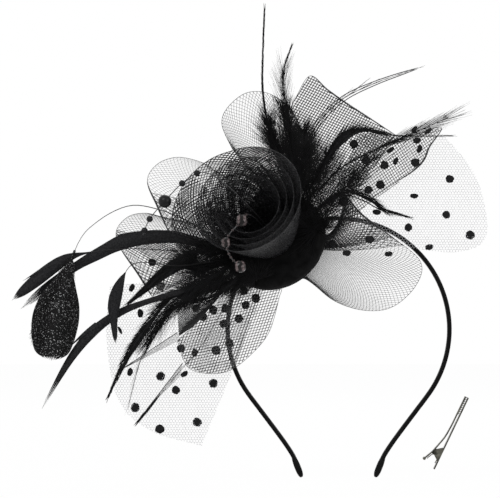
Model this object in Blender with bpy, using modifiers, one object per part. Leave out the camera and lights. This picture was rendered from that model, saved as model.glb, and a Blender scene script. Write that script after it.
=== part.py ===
"""Fascinator headpiece: a felt button with crin lobes, a rose, veils, feathers and beads on a satin headband.

Metres, +Z up, worn upright. The viewer looks along +Y. The origin is inside the crown of the headband.
"""

import math

import bmesh
import bpy
from mathutils import Matrix, Vector

MM = 0.001
GAP = 0.3 * MM  # clearance between any two pieces

# Headband
BAND_RADIUS = 65.5 * MM
BAND_ARC_DEG = 127.0  # from the crown to the straight leg
LEG_LENGTH = 53.0 * MM
LEG_TURN_DEG = 15.0  # the legs turn back toward upright near their tips
LEG_LATE = 5  # power that keeps the turn to the last part of a leg
CORE_WIDTH = 4.6 * MM
CORE_THICKNESS = 1.2 * MM
SATIN_WALL = 0.6 * MM
TIP_LENGTH = 12.5 * MM
TIP_DEPTH = 8.5 * MM
TIP_WALL = 0.4 * MM
ARC_STEPS = 22
LEG_STEPS = 6

# Felt base and the layers under it
BASE_STATION_DEG = 126.0  # where on the band's arc the base sits, from +X toward +Z
BASE_TILT_DEG = 57.0  # how far the base turns from the band's outside toward the viewer
BASE_RADIUS = 31.0 * MM
BASE_THICKNESS = 7.0 * MM
BASE_ROUND = 3.0 * MM
BASE_OFFSET = 62.5 * MM  # of the base's back, out from the middle of the band's arc in the front view
LINING_INSET = 4.0 * MM  # of the lining inside the edge of the base
LINING_THICKNESS = 2.0 * MM
KEEPER_LENGTH = 22.0 * MM
KEEPER_WALL = 1.4 * MM
NET_THICKNESS = 0.8 * MM
ROOT_DEPTH = 14.0 * MM  # how far every lobe and veil reaches in under the base
ROOT_OUT = 2.0 * MM  # how far past the base's edge it stays flat
LOBE_HOLD = 0.35  # share of a lobe's reach that keeps its first direction
VEIL_HOLD = 0.12

# Rose
ROSE_TURNS = 4.0
ROSE_INNER = 6.0 * MM
ROSE_FOOT = 14.0 * MM
ROSE_FLARE = 2.6
ROSE_HEIGHT = 50.0 * MM
ROSE_END_DEG = 165.0  # where the strip ends, about the base
ROSE_LOOSE = 10.0 * MM  # how far its loose end springs out

# Feathers and beads
QUILL_WIDTH = 1.0 * MM
BLADE_THICKNESS = 0.7 * MM
WIRE_RADIUS = 0.4 * MM
BEAD_BORE = 0.9 * MM

# Clip, in its own plane: x toward the tip of the jaws, y toward the lever, z along the pin
CLIP_PIN_AT = Vector((57.3, 0.0, -136.4)) * MM
CLIP_LEAN_DEG = 64.4  # of the jaws above the horizontal
CLIP_WIDTH = 8.0 * MM
CLIP_SHEET = 0.8 * MM
CLIP_TAIL = 9.4 * MM
CLIP_JAW = 37.2 * MM
CLIP_PIN_HEIGHT = 3.0 * MM  # of the pin above the lower jaw
CLIP_PIN_RADIUS = 0.75 * MM
CLIP_PIN_HEAD = 1.5 * MM
CLIP_EAR_RADIUS = 1.9 * MM
CLIP_EAR_FOOT = 4.5 * MM  # half the width of an ear where it meets its jaw
CLIP_LEVER_FOOT = 1.6 * MM
# The middle of the lever's sheet on the clip's axes, from its rolled end to its teeth
CLIP_LEVER_MIDDLE = [(-6.2, 4.5), (-3.0, 3.0), (0.0, 1.7), (5.0, 0.3), (10.0, -1.0), (15.0, -1.5)]
CLIP_LEVER_MIDDLE += [(20.0, -1.7), (25.0, -1.7)]
CLIP_ROLL = 0.9 * MM  # radius of the rolled end of the lever
CLIP_TEETH = 9
CLIP_TOOTH = 1.3 * MM
CLIP_TOOTH_DEPTH = 0.6 * MM
CLIP_LEAF = 0.4 * MM  # thickness of the spring
CLIP_LEAF_HALF = 1.5 * MM
# The spring's arms on the clip's axes: under the lever, round the pin and along the lower jaw
CLIP_LEAF_ROUTE = [(-5.6, 3.05), (-2.6, 1.65), (-1.7, 0.7), (-1.7, -0.8), (-2.9, -2.4), (-6.0, -2.4)]

for old in list(bpy.data.objects):
    bpy.data.objects.remove(old)

PIECES = bpy.data.collections.new("fascinator_headpiece")
CUTTERS = bpy.data.collections.new("cutters")
bpy.context.scene.collection.children.link(PIECES)
bpy.context.scene.collection.children.link(CUTTERS)


def finish(name, rgb, roughness, metallic=0.0):
    """A plain material for one kind of stuff."""
    made = bpy.data.materials.new(name)
    made.use_nodes = True
    shader = made.node_tree.nodes["Principled BSDF"]
    shader.inputs["Base Color"].default_value = (*rgb, 1.0)
    shader.inputs["Roughness"].default_value = roughness
    shader.inputs["Metallic"].default_value = metallic
    return made


SATIN = finish("satin", (0.015, 0.015, 0.017), 0.35)
STEEL = finish("band_steel", (0.35, 0.35, 0.36), 0.4, 1.0)
FELT = finish("felt", (0.010, 0.010, 0.011), 0.95)
CRIN = finish("crin", (0.020, 0.020, 0.022), 0.5)
TULLE = finish("tulle", (0.090, 0.090, 0.095), 0.8)
FEATHER = finish("feather", (0.012, 0.012, 0.014), 0.7)
PEARL = finish("pearl", (0.012, 0.012, 0.014), 0.15)
CRYSTAL = finish("crystal", (0.060, 0.050, 0.055), 0.08)
WIRE = finish("wire", (0.030, 0.030, 0.032), 0.45)
NICKEL = finish("nickel", (0.62, 0.62, 0.60), 0.25, 1.0)


def place(name, data, material, parent=None, collection=PIECES):
    """An object for a mesh or curve, in its collection, under its parent."""
    made = bpy.data.objects.new(name, data)
    collection.objects.link(made)
    data.materials.append(material)
    made.parent = parent
    return made


def cutter(name, data, parent=None):
    """An object that only cuts or joins another, kept out of the render."""
    made = bpy.data.objects.new(name, data)
    CUTTERS.objects.link(made)
    made.parent = parent
    made.hide_render = True
    made.display_type = "WIRE"
    return made


def boolean(target, tool, operation):
    """Cut, join or intersect a piece with a cutter."""
    step = target.modifiers.new(operation.lower(), "BOOLEAN")
    step.operation = operation
    step.solver = "EXACT"
    step.object = tool


def bm_mesh(name, build):
    """A mesh from one bmesh operation."""
    bm = bmesh.new()
    build(bm)
    mesh = bpy.data.meshes.new(name)
    bm.to_mesh(mesh)
    bm.free()
    return mesh


def box_mesh(name, low, high):
    """A box between two corners."""
    low, high = Vector(low), Vector(high)
    size = Matrix.Diagonal((*(high - low), 1.0))
    at = Matrix.Translation((low + high) / 2)
    return bm_mesh(name, lambda bm: bmesh.ops.create_cube(bm, size=1.0, matrix=at @ size))


def rod_mesh(name, radius, low, high, sides=20):
    """A cylinder along z."""
    at = Matrix.Translation((0, 0, (low + high) / 2))
    return bm_mesh(
        name,
        lambda bm: bmesh.ops.create_cone(
            bm, cap_ends=True, segments=sides, radius1=radius, radius2=radius, depth=high - low, matrix=at
        ),
    )


def sheet(name, across, along, point_at, thickness, material):
    """A grid laid on point_at(u, v), u across and v along, made solid by its thickness."""
    bm = bmesh.new()
    bmesh.ops.create_grid(bm, x_segments=across, y_segments=along, size=0.5)
    for vertex in bm.verts:
        vertex.co = point_at(vertex.co.x + 0.5, vertex.co.y + 0.5)
    mesh = bpy.data.meshes.new(name)
    bm.to_mesh(mesh)
    bm.free()
    made = place(name, mesh, material)
    shell = made.modifiers.new("thickness", "SOLIDIFY")
    shell.thickness = thickness
    shell.offset = 0.0
    return made


def net(name, across, along, point_at, thickness, material):
    """The same grid as an open net of square strands, one gap to each of its faces."""
    made = sheet(name, across, along, point_at, thickness, material)
    made.modifiers.clear()
    strands = made.modifiers.new("strands", "WIREFRAME")
    strands.thickness = thickness
    strands.use_boundary = True
    strands.use_even_offset = False
    return made


def turned(name, profile, steps, material, parent, closed=False):
    """A profile of (radius, height) points turned about z; a closed profile makes a ring."""
    mesh = bpy.data.meshes.new(name)
    edges = [(i, i + 1) for i in range(len(profile) - 1)]
    if closed:
        edges.append((len(profile) - 1, 0))
    mesh.from_pydata([(r, 0.0, h) for r, h in profile], edges, [])
    made = place(name, mesh, material, parent)
    screw = made.modifiers.new("turn", "SCREW")
    screw.steps = steps
    screw.render_steps = steps
    screw.use_merge_vertices = True
    screw.merge_threshold = 0.000001
    screw.use_normal_flip = True
    return made


def outline(name, points, half_depth):
    """The mesh of a closed flat outline in x and y, extruded both ways along z."""
    bm = bmesh.new()
    face = bm.faces.new([bm.verts.new((x, y, -half_depth)) for x, y in points])
    grown = bmesh.ops.extrude_face_region(bm, geom=[face])
    moved = [item for item in grown["geom"] if isinstance(item, bmesh.types.BMVert)]
    bmesh.ops.translate(bm, verts=moved, vec=(0.0, 0.0, 2 * half_depth))
    bmesh.ops.recalc_face_normals(bm, faces=bm.faces)
    mesh = bpy.data.meshes.new(name)
    bm.to_mesh(mesh)
    bm.free()
    return mesh


def as_mesh(name, curve):
    """The solid of a curve as a welded mesh, which a Boolean can work on."""
    drawn = bpy.data.objects.new(name, curve)
    CUTTERS.objects.link(drawn)
    solved = drawn.evaluated_get(bpy.context.evaluated_depsgraph_get())
    mesh = bpy.data.meshes.new_from_object(solved)
    bpy.data.objects.remove(drawn)
    bm = bmesh.new()
    bm.from_mesh(mesh)
    bmesh.ops.remove_doubles(bm, verts=bm.verts, dist=0.000001)
    bmesh.ops.recalc_face_normals(bm, faces=bm.faces)
    bm.to_mesh(mesh)
    bm.free()
    return mesh


def smooth(points, t):
    """A point on the smooth curve through a list of points, t from 0 to 1."""
    spans = len(points) - 1
    i = min(int(t * spans), spans - 1)
    s = t * spans - i
    before = points[max(i - 1, 0)]
    start, end = points[i], points[i + 1]
    after = points[min(i + 2, spans)]
    bend = 2 * before - 5 * start + 4 * end - after
    twist = 3 * start - before - 3 * end + after
    return start + 0.5 * s * ((end - before) + s * (bend + s * twist))


def blend(a, b, t):
    return a + (b - a) * t


# Headband: a steel core in a satin sleeve, a sleeve on each end

SLEEVE_HALF = CORE_THICKNESS / 2 + GAP + SATIN_WALL
SLEEVE_HALF_WIDTH = CORE_WIDTH / 2 + GAP + SATIN_WALL
ARC_CENTRE = -(BAND_RADIUS - SLEEVE_HALF)  # its height below the origin


def arc_point(degrees):
    """A point on the band's arc, from +X toward +Z."""
    angle = math.radians(degrees)
    return Vector((BAND_RADIUS * math.cos(angle), ARC_CENTRE + BAND_RADIUS * math.sin(angle)))


def band_path():
    """The band's centre line in the front view, from the left tip to the right tip."""
    right = [arc_point(90.0 - BAND_ARC_DEG * i / ARC_STEPS) for i in range(ARC_STEPS + 1)]
    for i in range(LEG_STEPS):
        angle = math.radians(LEG_TURN_DEG * (i / (LEG_STEPS - 1)) ** LEG_LATE - BAND_ARC_DEG)
        step = LEG_LENGTH / LEG_STEPS
        right.append(right[-1] + step * Vector((math.cos(angle), math.sin(angle))))
    left = [Vector((-p.x, p.y)) for p in reversed(right[1:])]
    return left + right


def swept_band(name, path, half_thickness, half_width, capped):
    """A strip of rectangular section along a path in the front view."""
    section = bpy.data.curves.new(name + "_section", "CURVE")
    section.dimensions = "2D"
    section.fill_mode = "NONE"
    loop = section.splines.new("POLY")
    loop.points.add(3)
    corners = [(-1, -1), (1, -1), (1, 1), (-1, 1)]
    for spot, (x, y) in zip(loop.points, corners):
        spot.co = (x * half_thickness, y * half_width, 0.0, 1.0)
    loop.use_cyclic_u = True
    profile = cutter(name + "_section", section)
    data = bpy.data.curves.new(name, "CURVE")
    data.dimensions = "2D"
    data.fill_mode = "NONE"
    data.bevel_mode = "OBJECT"
    data.bevel_object = profile
    data.use_fill_caps = capped
    line = data.splines.new("POLY")
    line.points.add(len(path) - 1)
    for spot, p in zip(line.points, path):
        spot.co = (p.x, p.y, 0.0, 1.0)
    return data


UPRIGHT = Matrix.Rotation(math.pi / 2, 4, "X")  # from a drawing in x and y to the front view
PATH = band_path()

core_data = swept_band("band_core", PATH, CORE_THICKNESS / 2, CORE_WIDTH / 2, True)
core = place("band_core", as_mesh("band_core", core_data), STEEL)
core.matrix_world = UPRIGHT

sleeve_inside = SLEEVE_HALF - SATIN_WALL
sleeve_data = swept_band("band_satin_sleeve", PATH, sleeve_inside, SLEEVE_HALF_WIDTH - SATIN_WALL, False)
sleeve = place("band_satin_sleeve", as_mesh("band_satin_sleeve", sleeve_data), SATIN)
sleeve.matrix_world = UPRIGHT
wall = sleeve.modifiers.new("wall", "SOLIDIFY")
wall.thickness = SATIN_WALL
wall.offset = 1.0
wall.use_even_offset = True

for side, end, before in (("left", PATH[0], PATH[1]), ("right", PATH[-1], PATH[-2])):
    out = (end - before).normalized()
    across = Vector((-out.y, out.x))
    frame = Matrix(
        (
            (across.x, 0.0, out.x, end.x),
            (0.0, 1.0, 0.0, 0.0),
            (across.y, 0.0, out.y, end.y),
            (0.0, 0.0, 0.0, 1.0),
        )
    )
    pocket_x = SLEEVE_HALF + GAP
    pocket_y = SLEEVE_HALF_WIDTH + GAP
    tip_x = pocket_x + TIP_WALL
    tip_y = pocket_y + TIP_WALL
    top = TIP_LENGTH - TIP_DEPTH
    low = (-tip_x, -tip_y, -TIP_DEPTH)
    tip = place(side + "_band_tip", box_mesh(side + "_band_tip", low, (tip_x, tip_y, top)), SATIN)
    tip.matrix_world = frame
    round_off = tip.modifiers.new("round", "BEVEL")
    round_off.width = 0.5 * MM
    round_off.segments = 2
    low = (-pocket_x, -pocket_y, -2 * TIP_DEPTH)
    pocket = cutter(side + "_tip_pocket", box_mesh(side + "_tip_pocket", low, (pocket_x, pocket_y, GAP)))
    pocket.matrix_world = frame
    boolean(tip, pocket, "DIFFERENCE")

# Base frame: u along the band, v across it and away from the viewer, h out of the base

STATION = math.radians(BASE_STATION_DEG)
TILT = math.radians(BASE_TILT_DEG)
OUTWARD = Vector((math.cos(STATION), 0.0, math.sin(STATION)))
TOWARD_VIEWER = Vector((0.0, -1.0, 0.0))
AXIS_U = Vector((math.sin(STATION), 0.0, -math.cos(STATION)))
AXIS_H = OUTWARD * math.cos(TILT) + TOWARD_VIEWER * math.sin(TILT)
AXIS_V = AXIS_H.cross(AXIS_U)

ARC_MIDDLE = Vector((0.0, 0.0, ARC_CENTRE))
BAND_CORNER = (BAND_RADIUS + SLEEVE_HALF) * math.cos(TILT) + SLEEVE_HALF_WIDTH * math.sin(TILT)
FOOT = BAND_CORNER + GAP + KEEPER_WALL + GAP  # the lining's back, out from the middle of the arc
LAYER = NET_THICKNESS + GAP
VEIL_HEIGHT = LINING_THICKNESS + GAP + NET_THICKNESS / 2
BASE_BACK = LINING_THICKNESS + GAP + 3 * LAYER
TOP = BASE_BACK + BASE_THICKNESS
SLIDE = (BASE_OFFSET - (FOOT + BASE_BACK) * math.cos(TILT)) / math.sin(TILT)
BASE_AT = ARC_MIDDLE + AXIS_H * FOOT + AXIS_V * SLIDE
VIEW_AT = BASE_AT + AXIS_H * BASE_BACK + TOWARD_VIEWER * BASE_THICKNESS * math.sin(TILT)


def on_base(u, v, h):
    """A point from the base's own axes, h from the lining's back."""
    return BASE_AT + AXIS_U * u + AXIS_V * v + AXIS_H * h


def in_front_view(right, up, forward):
    """A point in millimetres as the viewer sees it: right, up and forward of VIEW_AT, by the base's back."""
    return VIEW_AT + Vector((right, -forward, up)) * MM


base_frame = bpy.data.objects.new("base_frame", None)
PIECES.objects.link(base_frame)
base_frame.matrix_world = Matrix(
    (
        (AXIS_U.x, AXIS_V.x, AXIS_H.x, BASE_AT.x),
        (AXIS_U.y, AXIS_V.y, AXIS_H.y, BASE_AT.y),
        (AXIS_U.z, AXIS_V.z, AXIS_H.z, BASE_AT.z),
        (0.0, 0.0, 0.0, 1.0),
    )
)

round_from = BASE_RADIUS - BASE_ROUND
rim = [
    (round_from + BASE_ROUND * math.cos(a), TOP - BASE_ROUND + BASE_ROUND * math.sin(a))
    for a in (0.0, math.pi / 6, math.pi / 3, math.pi / 2)
]
turned("base_felt", [(0.0, BASE_BACK), (BASE_RADIUS, BASE_BACK), *rim, (0.0, TOP)], 44, FELT, base_frame)
lining_radius = BASE_RADIUS - LINING_INSET
lining_profile = [(0.0, 0.0), (lining_radius, 0.0)]
lining_profile += [(lining_radius, LINING_THICKNESS), (0.0, LINING_THICKNESS)]
turned("base_lining", lining_profile, 44, FELT, base_frame)

# Keeper: a felt block under the lining, with a channel that the band runs through

near = [arc_point(BASE_STATION_DEG + d) for d in range(-18, 19, 3)]
channel_data = swept_band("keeper_channel", near, SLEEVE_HALF + GAP, SLEEVE_HALF_WIDTH + GAP, True)
channel = cutter("keeper_channel", as_mesh("keeper_channel", channel_data))
channel.matrix_world = UPRIGHT
band_v = BAND_RADIUS * math.sin(TILT) - SLIDE  # where the band's middle lies under the base
band_h = BAND_RADIUS * math.cos(TILT) - FOOT
reach_v = SLEEVE_HALF * math.sin(TILT) + SLEEVE_HALF_WIDTH * math.cos(TILT) + GAP + KEEPER_WALL
reach_h = SLEEVE_HALF * math.cos(TILT) + SLEEVE_HALF_WIDTH * math.sin(TILT) + GAP + KEEPER_WALL
low = (-KEEPER_LENGTH / 2, band_v - reach_v, band_h - reach_h)
high = (KEEPER_LENGTH / 2, band_v + reach_v, -GAP)
keeper = place("band_keeper", box_mesh("band_keeper", low, high), FELT, base_frame)
boolean(keeper, channel, "DIFFERENCE")

# Crin lobes and veils: each root lies flat under the base, then bends out to its edge in the front view


def rooted(span, layer, hold, edge_at, u, v, flat=0.3):
    """A point of a sheet that runs from under the base to edge_at(u); span is its turn about the base."""
    angle = math.radians(blend(span[0], span[1], u))
    ray = AXIS_U * math.cos(angle) + AXIS_V * math.sin(angle)
    level = BASE_AT + AXIS_H * (VEIL_HEIGHT + layer * LAYER)
    if v <= flat:
        return level + ray * (BASE_RADIUS + blend(-ROOT_DEPTH, ROOT_OUT, v / flat))
    start = level + ray * (BASE_RADIUS + ROOT_OUT)
    end = edge_at(u)
    s = (v - flat) / (1.0 - flat)
    lead = start + ray * hold * (end - start).length
    return start * (1 - s) ** 2 + lead * 2 * s * (1 - s) + end * s * s


# Each lobe: turn about the base, layer under it, its selvedge in the front view and its depth there
LOBES = {
    "upper_right": dict(
        span=(-8, 34),
        layer=1,
        edge=[(70, 64), (55.5, 73.5), (41, 83), (30, 91), (20, 99), (12, 87), (6, 74)],
        depth=(-14, -20, -24),
    ),
    "top": dict(
        span=(42, 72),
        layer=2,
        edge=[(14, 70), (7, 81), (-5, 89), (-18, 89), (-29, 80), (-32, 70), (-26, 56)],
        depth=(-24, -28, -18),
    ),
    "upper_left": dict(
        span=(80, 116),
        layer=1,
        edge=[(-36, 43), (-44, 48), (-58, 51), (-70, 47), (-76, 37), (-70, 22), (-63, 6)],
        depth=(-22, -22, -14),
    ),
    "left": dict(
        span=(124, 162),
        layer=2,
        edge=[(-68, 16), (-77, 18), (-87, 16), (-94, 8), (-92, -2), (-81, -18), (-73, -31)],
        depth=(-24, -14, -4),
    ),
    "bottom": dict(
        span=(190, 244),
        layer=1,
        edge=[(-58, -57), (-52, -72), (-40, -76), (-27, -74), (-14, -64), (-4, -51), (2, -30)],
        depth=(2, 5, 8),
    ),
    "right": dict(
        span=(270, 330),
        layer=2,
        edge=[(18, -20), (33, -33), (51, -39), (68, -37), (82, -24), (84, -10), (66, 5), (50, 17), (40, 29)],
        depth=(8, 2, 8),
    ),
    "fold": dict(
        span=(-26, 4),
        layer=2,
        edge=[(58, 28), (70, 36), (80, 42.5), (86.5, 49), (90, 57)]
        + [(97, 68), (84, 65), (72, 63), (60, 65), (48, 64)],
        depth=(-5, -6, -6),
    ),
}


def lobe_edge(lobe, u):
    """The selvedge of a lobe, its depth passing smoothly through start, middle and end."""
    flat = [Vector((right, up, 0.0)) for right, up in lobe["edge"]]
    spot = smooth(flat, u)
    depth = smooth([Vector((0.0, 0.0, d)) for d in lobe["depth"]], u).z
    return in_front_view(spot.x, spot.y, depth)


for key, lobe in LOBES.items():
    sheet(
        "crin_lobe_" + key,
        14,
        7,
        lambda u, v, lobe=lobe: rooted(
            lobe["span"], lobe["layer"], LOBE_HOLD, lambda t: lobe_edge(lobe, t), u, v
        ),
        NET_THICKNESS,
        CRIN,
    )

# Each veil: turn about the base, its edge in the front view and its folds
VEILS = {
    "right": dict(
        span=(-34, 4),
        edge=[(74, -2, -16), (106, -5, -16), (123, 3, -14), (122, 26, -14), (113, 47, -15), (92, 71, -16)],
        folds=3,
        fold_depth=2.0,
    ),
    "lower_left": dict(
        span=(168, 222),
        edge=[(-98, -25, -15), (-100, -56, -14), (-93, -92, -13), (-74, -110, -12), (-44, -119, -12)],
        folds=3,
        fold_depth=2.0,
    ),
}


def veil_point(veil, u, v):
    """A point of a veil, its folds opening toward the edge."""
    corners = [in_front_view(*corner) for corner in veil["edge"]]
    point = rooted(veil["span"], 0, VEIL_HOLD, lambda t: smooth(corners, t), u, v)
    fold = veil["fold_depth"] * MM * math.sin(2 * math.pi * veil["folds"] * u)
    return point + TOWARD_VIEWER * fold * max(0.0, v - 0.4) / 0.6


for key, veil in VEILS.items():
    net("veil_" + key, 13, 9, lambda u, v, veil=veil: veil_point(veil, u, v), NET_THICKNESS, TULLE)

# Rose: one strip of crin wound into a flared spiral that stands on the base


def rose_point(u, v):
    """A point of the strip, u round the spiral and v up it."""
    angle = math.radians(ROSE_END_DEG) - 2 * math.pi * ROSE_TURNS * (1.0 - u)
    flare = 1.0 + (ROSE_FLARE - 1.0) * v**0.8
    loose = ROSE_LOOSE * max(0.0, 1.0 - (1.0 - u) * ROSE_TURNS * 4.0) * v
    radius = blend(ROSE_INNER, ROSE_FOOT, u) * flare + loose
    rise = ROSE_HEIGHT * blend(0.8, 1.0, u) * v
    return on_base(radius * math.cos(angle), radius * math.sin(angle), TOP + GAP + rise)


sheet("crin_rose", 96, 4, rose_point, NET_THICKNESS, CRIN)

turn_share = 1.0 / ROSE_TURNS
turn_gaps = [
    (rose_point(i / 200 + turn_share, v / 4) - rose_point(i / 200, v / 4)).length - NET_THICKNESS
    for i in range(int(200 * (1.0 - turn_share)))
    for v in range(5)
]
print(f"least gap between turns of the rose: {min(turn_gaps) / MM:.2f} mm")

# Feathers: a quill from the top of the base, then a blade along a smooth route that faces the viewer

# Each feather: root on the base as its turn and its distance in from the edge, route in the front view,
# widest width, where the blade starts and where it is widest
FEATHERS = {
    "plume_tall": dict(root=(40, 6), route=[(5, 46, -8), (-3, 64, -8), (-8, 92, -6), (-7, 137, -4)], wide=4),
    "plume_short": dict(root=(31, 5.5), route=[(10, 48, -4), (5, 80, -2), (4, 100, 0), (9, 116, 2)], wide=7),
    "plume_upper_right": dict(
        root=(21, 5.5), route=[(16, 48, 2), (23, 68, 4), (38, 84, 4), (58, 94, 4), (84, 103, 4)], wide=4
    ),
    "plume_curved": dict(
        root=(11, 4.5), route=[(28, 47, 8), (38, 61, 8), (50, 66, 8), (73, 63, 8), (102, 63, 8)], wide=4
    ),
    "plume_brush": dict(root=(2, 4), route=[(35, 42, 14), (56, 54, 14), (79, 64, 14), (110, 78, 14)], wide=7),
    "plume_lower_right": dict(
        root=(-9, 4.5), route=[(38, 29, 12), (51, 27, 12), (62, 20.5, 12), (77, 15.5, 12)], wide=4
    ),
    "biot_upper": dict(
        root=(160, 6),
        route=[(-42, 0, 12), (-62, 4, 14), (-86, 2, 16), (-104, -6, 16), (-124, -18, 16), (-149, -38, 16)],
        wide=6,
        start=0.05,
        peak=0.5,
    ),
    "biot_lower": dict(
        root=(181, 6),
        route=[(-45, -24, 20), (-70, -32, 20), (-91, -40, 20), (-107, -51.5, 20), (-120.5, -68, 20)]
        + [(-136.5, -96, 20)],
        wide=5,
        start=0.2,
    ),
    "leaf_large": dict(
        root=(152, 6),
        route=[(-43, 8, 9), (-54, 14, 11), (-69, 20, 14), (-86, 22, 16), (-104, 13, 20), (-116.5, -2, 22)]
        + [(-128, -41, 23), (-131, -68, 24)],
        wide=27,
        start=0.76,
    ),
    "leaf_long": dict(
        root=(167, 6),
        route=[(-41, -5, 14), (-62, -4, 20), (-86, -3, 21), (-108, -5, 21), (-126, -11, 21), (-154, -33, 21)],
        wide=8,
        start=0.76,
    ),
    "leaf_small": dict(
        root=(174, 6),
        route=[(-41, -11, 17), (-58, -13, 24), (-80, -11, 26), (-88.5, -18, 26), (-94.5, -36, 26)]
        + [(-93.5, -58, 26)],
        wide=9,
        start=0.66,
    ),
    "hackle_short": dict(
        root=(177.5, 6),
        route=[(-44, -14, 12), (-52, -10, 11), (-64, -16, 11), (-76, -26, 11), (-89, -37, 11)],
        wide=5,
    ),
    "hackle_left": dict(
        root=(195, 6),
        route=[(-40, -26, 16), (-60, -31, 16), (-76, -49, 15), (-87, -66, 15), (-98, -89, 15)],
        wide=5,
    ),
    "hackle_middle": dict(
        root=(202, 6),
        route=[(-35, -30, 14), (-57, -36, 12), (-72, -53, 10), (-80, -70, 9), (-87, -97, 9)],
        wide=5,
    ),
    "hackle_lower": dict(
        root=(209, 6), route=[(-27, -32, 19), (-44, -60, 16), (-56, -74, 15), (-81, -104, 14)], wide=5
    ),
    "marabou_left": dict(
        root=(218, 2.5),
        route=[(-25, -26, 6), (-40, -26, 5), (-60, -36, 4), (-81, -58, 3)],
        wide=20,
        start=0.3,
        thick=2.0,
    ),
    "marabou_right": dict(
        root=(-27, 2.8), route=[(36, 28, 20), (47, 40, 20), (57, 50, 19)], wide=22, start=0.15, thick=2.0
    ),
    "marabou_top": dict(
        root=(36, 2.2), route=[(20, 44, -14), (17, 58, -15), (15, 70, -15)], wide=10, start=0.3, thick=2.0
    ),
}


def feather_point(feather, across, along):
    """A point of a feather's blade, across and along from 0 to 1."""
    turn, inset = feather["root"]
    radius = BASE_RADIUS - inset * MM
    u = radius * math.cos(math.radians(turn))
    v = radius * math.sin(math.radians(turn))
    thick = feather.get("thick", BLADE_THICKNESS / MM) * MM
    foot = TOP + GAP + 0.2 * MM
    points = [on_base(u, v, foot), on_base(u, v, foot + 2 * MM + thick)]
    points += [in_front_view(*spot) for spot in feather["route"]]
    at = smooth(points, along)
    step = 0.002
    ahead = (smooth(points, min(along + step, 1.0)) - smooth(points, max(along - step, 0.0))).normalized()
    side = ahead.cross(TOWARD_VIEWER)
    if side.length < 0.3:
        side = ahead.cross(AXIS_U)
    side.normalize()
    start = feather.get("start", 0.25)
    peak = feather.get("peak", 0.45)
    grown = max(0.0, (along - start) / (1.0 - start))
    swell = math.sin(math.pi * grown ** (math.log(0.5) / math.log(peak))) ** 0.8 if grown < 1.0 else 0.0
    width = QUILL_WIDTH + (feather["wide"] * MM - QUILL_WIDTH) * swell
    return at + side * width * (across - 0.5)


for key, feather in FEATHERS.items():
    sheet(
        key,
        1,
        18,
        lambda u, v, feather=feather: feather_point(feather, u, v),
        feather.get("thick", BLADE_THICKNESS / MM) * MM,
        FEATHER,
    )

# Beads: two wires from the top of the base, each with its beads


def bead(name, centre, along, radius, rings, steps, material):
    """A bored bead with its hole along a direction."""
    tilt = math.asin(BEAD_BORE / radius)
    profile = []
    for i in range(rings):
        angle = blend(-math.pi / 2 + tilt, math.pi / 2 - tilt, i / (rings - 1))
        profile.append((radius * math.cos(angle), radius * math.sin(angle)))
    made = turned(name, profile, steps, material, None, closed=True)
    made.matrix_world = Matrix.Translation(centre) @ along.to_track_quat("Z", "Y").to_matrix().to_4x4()


def wire(name, points, count):
    """A round wire along the smooth curve through points."""
    data = bpy.data.curves.new(name, "CURVE")
    data.dimensions = "3D"
    data.bevel_depth = WIRE_RADIUS
    data.bevel_resolution = 1
    data.use_fill_caps = True
    line = data.splines.new("POLY")
    line.points.add(count)
    for i, spot in enumerate(line.points):
        spot.co = (*smooth(points, i / count), 1.0)
    place(name, data, WIRE)


# Points along each wire on the base's own axes; then each bead's share of the wire's length and its radius
PEARL_WIRE = [(2, 2, 0), (0, 6, 28), (-4, 18, 50), (-11, 28, 58)]
PEARL_WIRE += [(-24, 31, 56), (-38, 30, 53), (-51, 29, 49), (-60, 26, 44)]
PEARLS = [("a", 0.46, 1.9), ("b", 0.57, 1.9), ("c", 0.715, 3.9), ("d", 0.86, 1.9), ("e", 0.95, 1.9)]
CRYSTAL_WIRE = [(-1, -2, 0), (-1, -3, 28), (-4, -9, 50), (-9, -15, 57)]
CRYSTAL_WIRE += [(-22, -21, 60), (-26, -30.5, 58), (-24.5, -38.5, 52)]
CRYSTALS = [("a", 0.96, 3.6), ("b", 0.70, 3.0), ("c", 0.49, 3.6)]

for kind, spots, beads, rings, steps, material in (
    ("pearl", PEARL_WIRE, PEARLS, 9, 14, PEARL),
    ("crystal", CRYSTAL_WIRE, CRYSTALS, 5, 8, CRYSTAL),
):
    route = [on_base(u * MM, v * MM, TOP + GAP + h * MM) for u, v, h in spots]
    wire(kind + "_wire", route, 30)
    for label, t, radius in beads:
        ahead = smooth(route, t + 0.004) - smooth(route, t - 0.004)
        bead(kind + "_" + label, smooth(route, t), ahead.normalized(), radius * MM, rings, steps, material)

# Clip: a lower jaw with ears, a lever between them, a riveted pin and a leaf spring
lean = math.radians(CLIP_LEAN_DEG)
clip_frame = bpy.data.objects.new("clip_frame", None)
PIECES.objects.link(clip_frame)
clip_frame.matrix_world = Matrix(
    (
        (math.cos(lean), -math.sin(lean), 0.0, CLIP_PIN_AT.x),
        (0.0, 0.0, -1.0, CLIP_PIN_AT.y),
        (math.sin(lean), math.cos(lean), 0.0, CLIP_PIN_AT.z),
        (0.0, 0.0, 0.0, 1.0),
    )
)

HALF_WIDTH = CLIP_WIDTH / 2
LEVER_HALF = HALF_WIDTH - CLIP_SHEET - 1.5 * GAP
FLOOR = -CLIP_PIN_HEIGHT  # the lower jaw's inner face
HOLE = CLIP_PIN_RADIUS + GAP
LUG_INSET = 0.1 * MM


def ear_outline(radius, foot_y, half_foot):
    """A lug round the pin, widening to its foot."""
    angles = [math.radians(degrees) for degrees in range(0, 181, 20)]
    top = [(radius * math.cos(angle), radius * math.sin(angle)) for angle in angles]
    return [(half_foot, foot_y), *top, (-half_foot, foot_y)]


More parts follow.
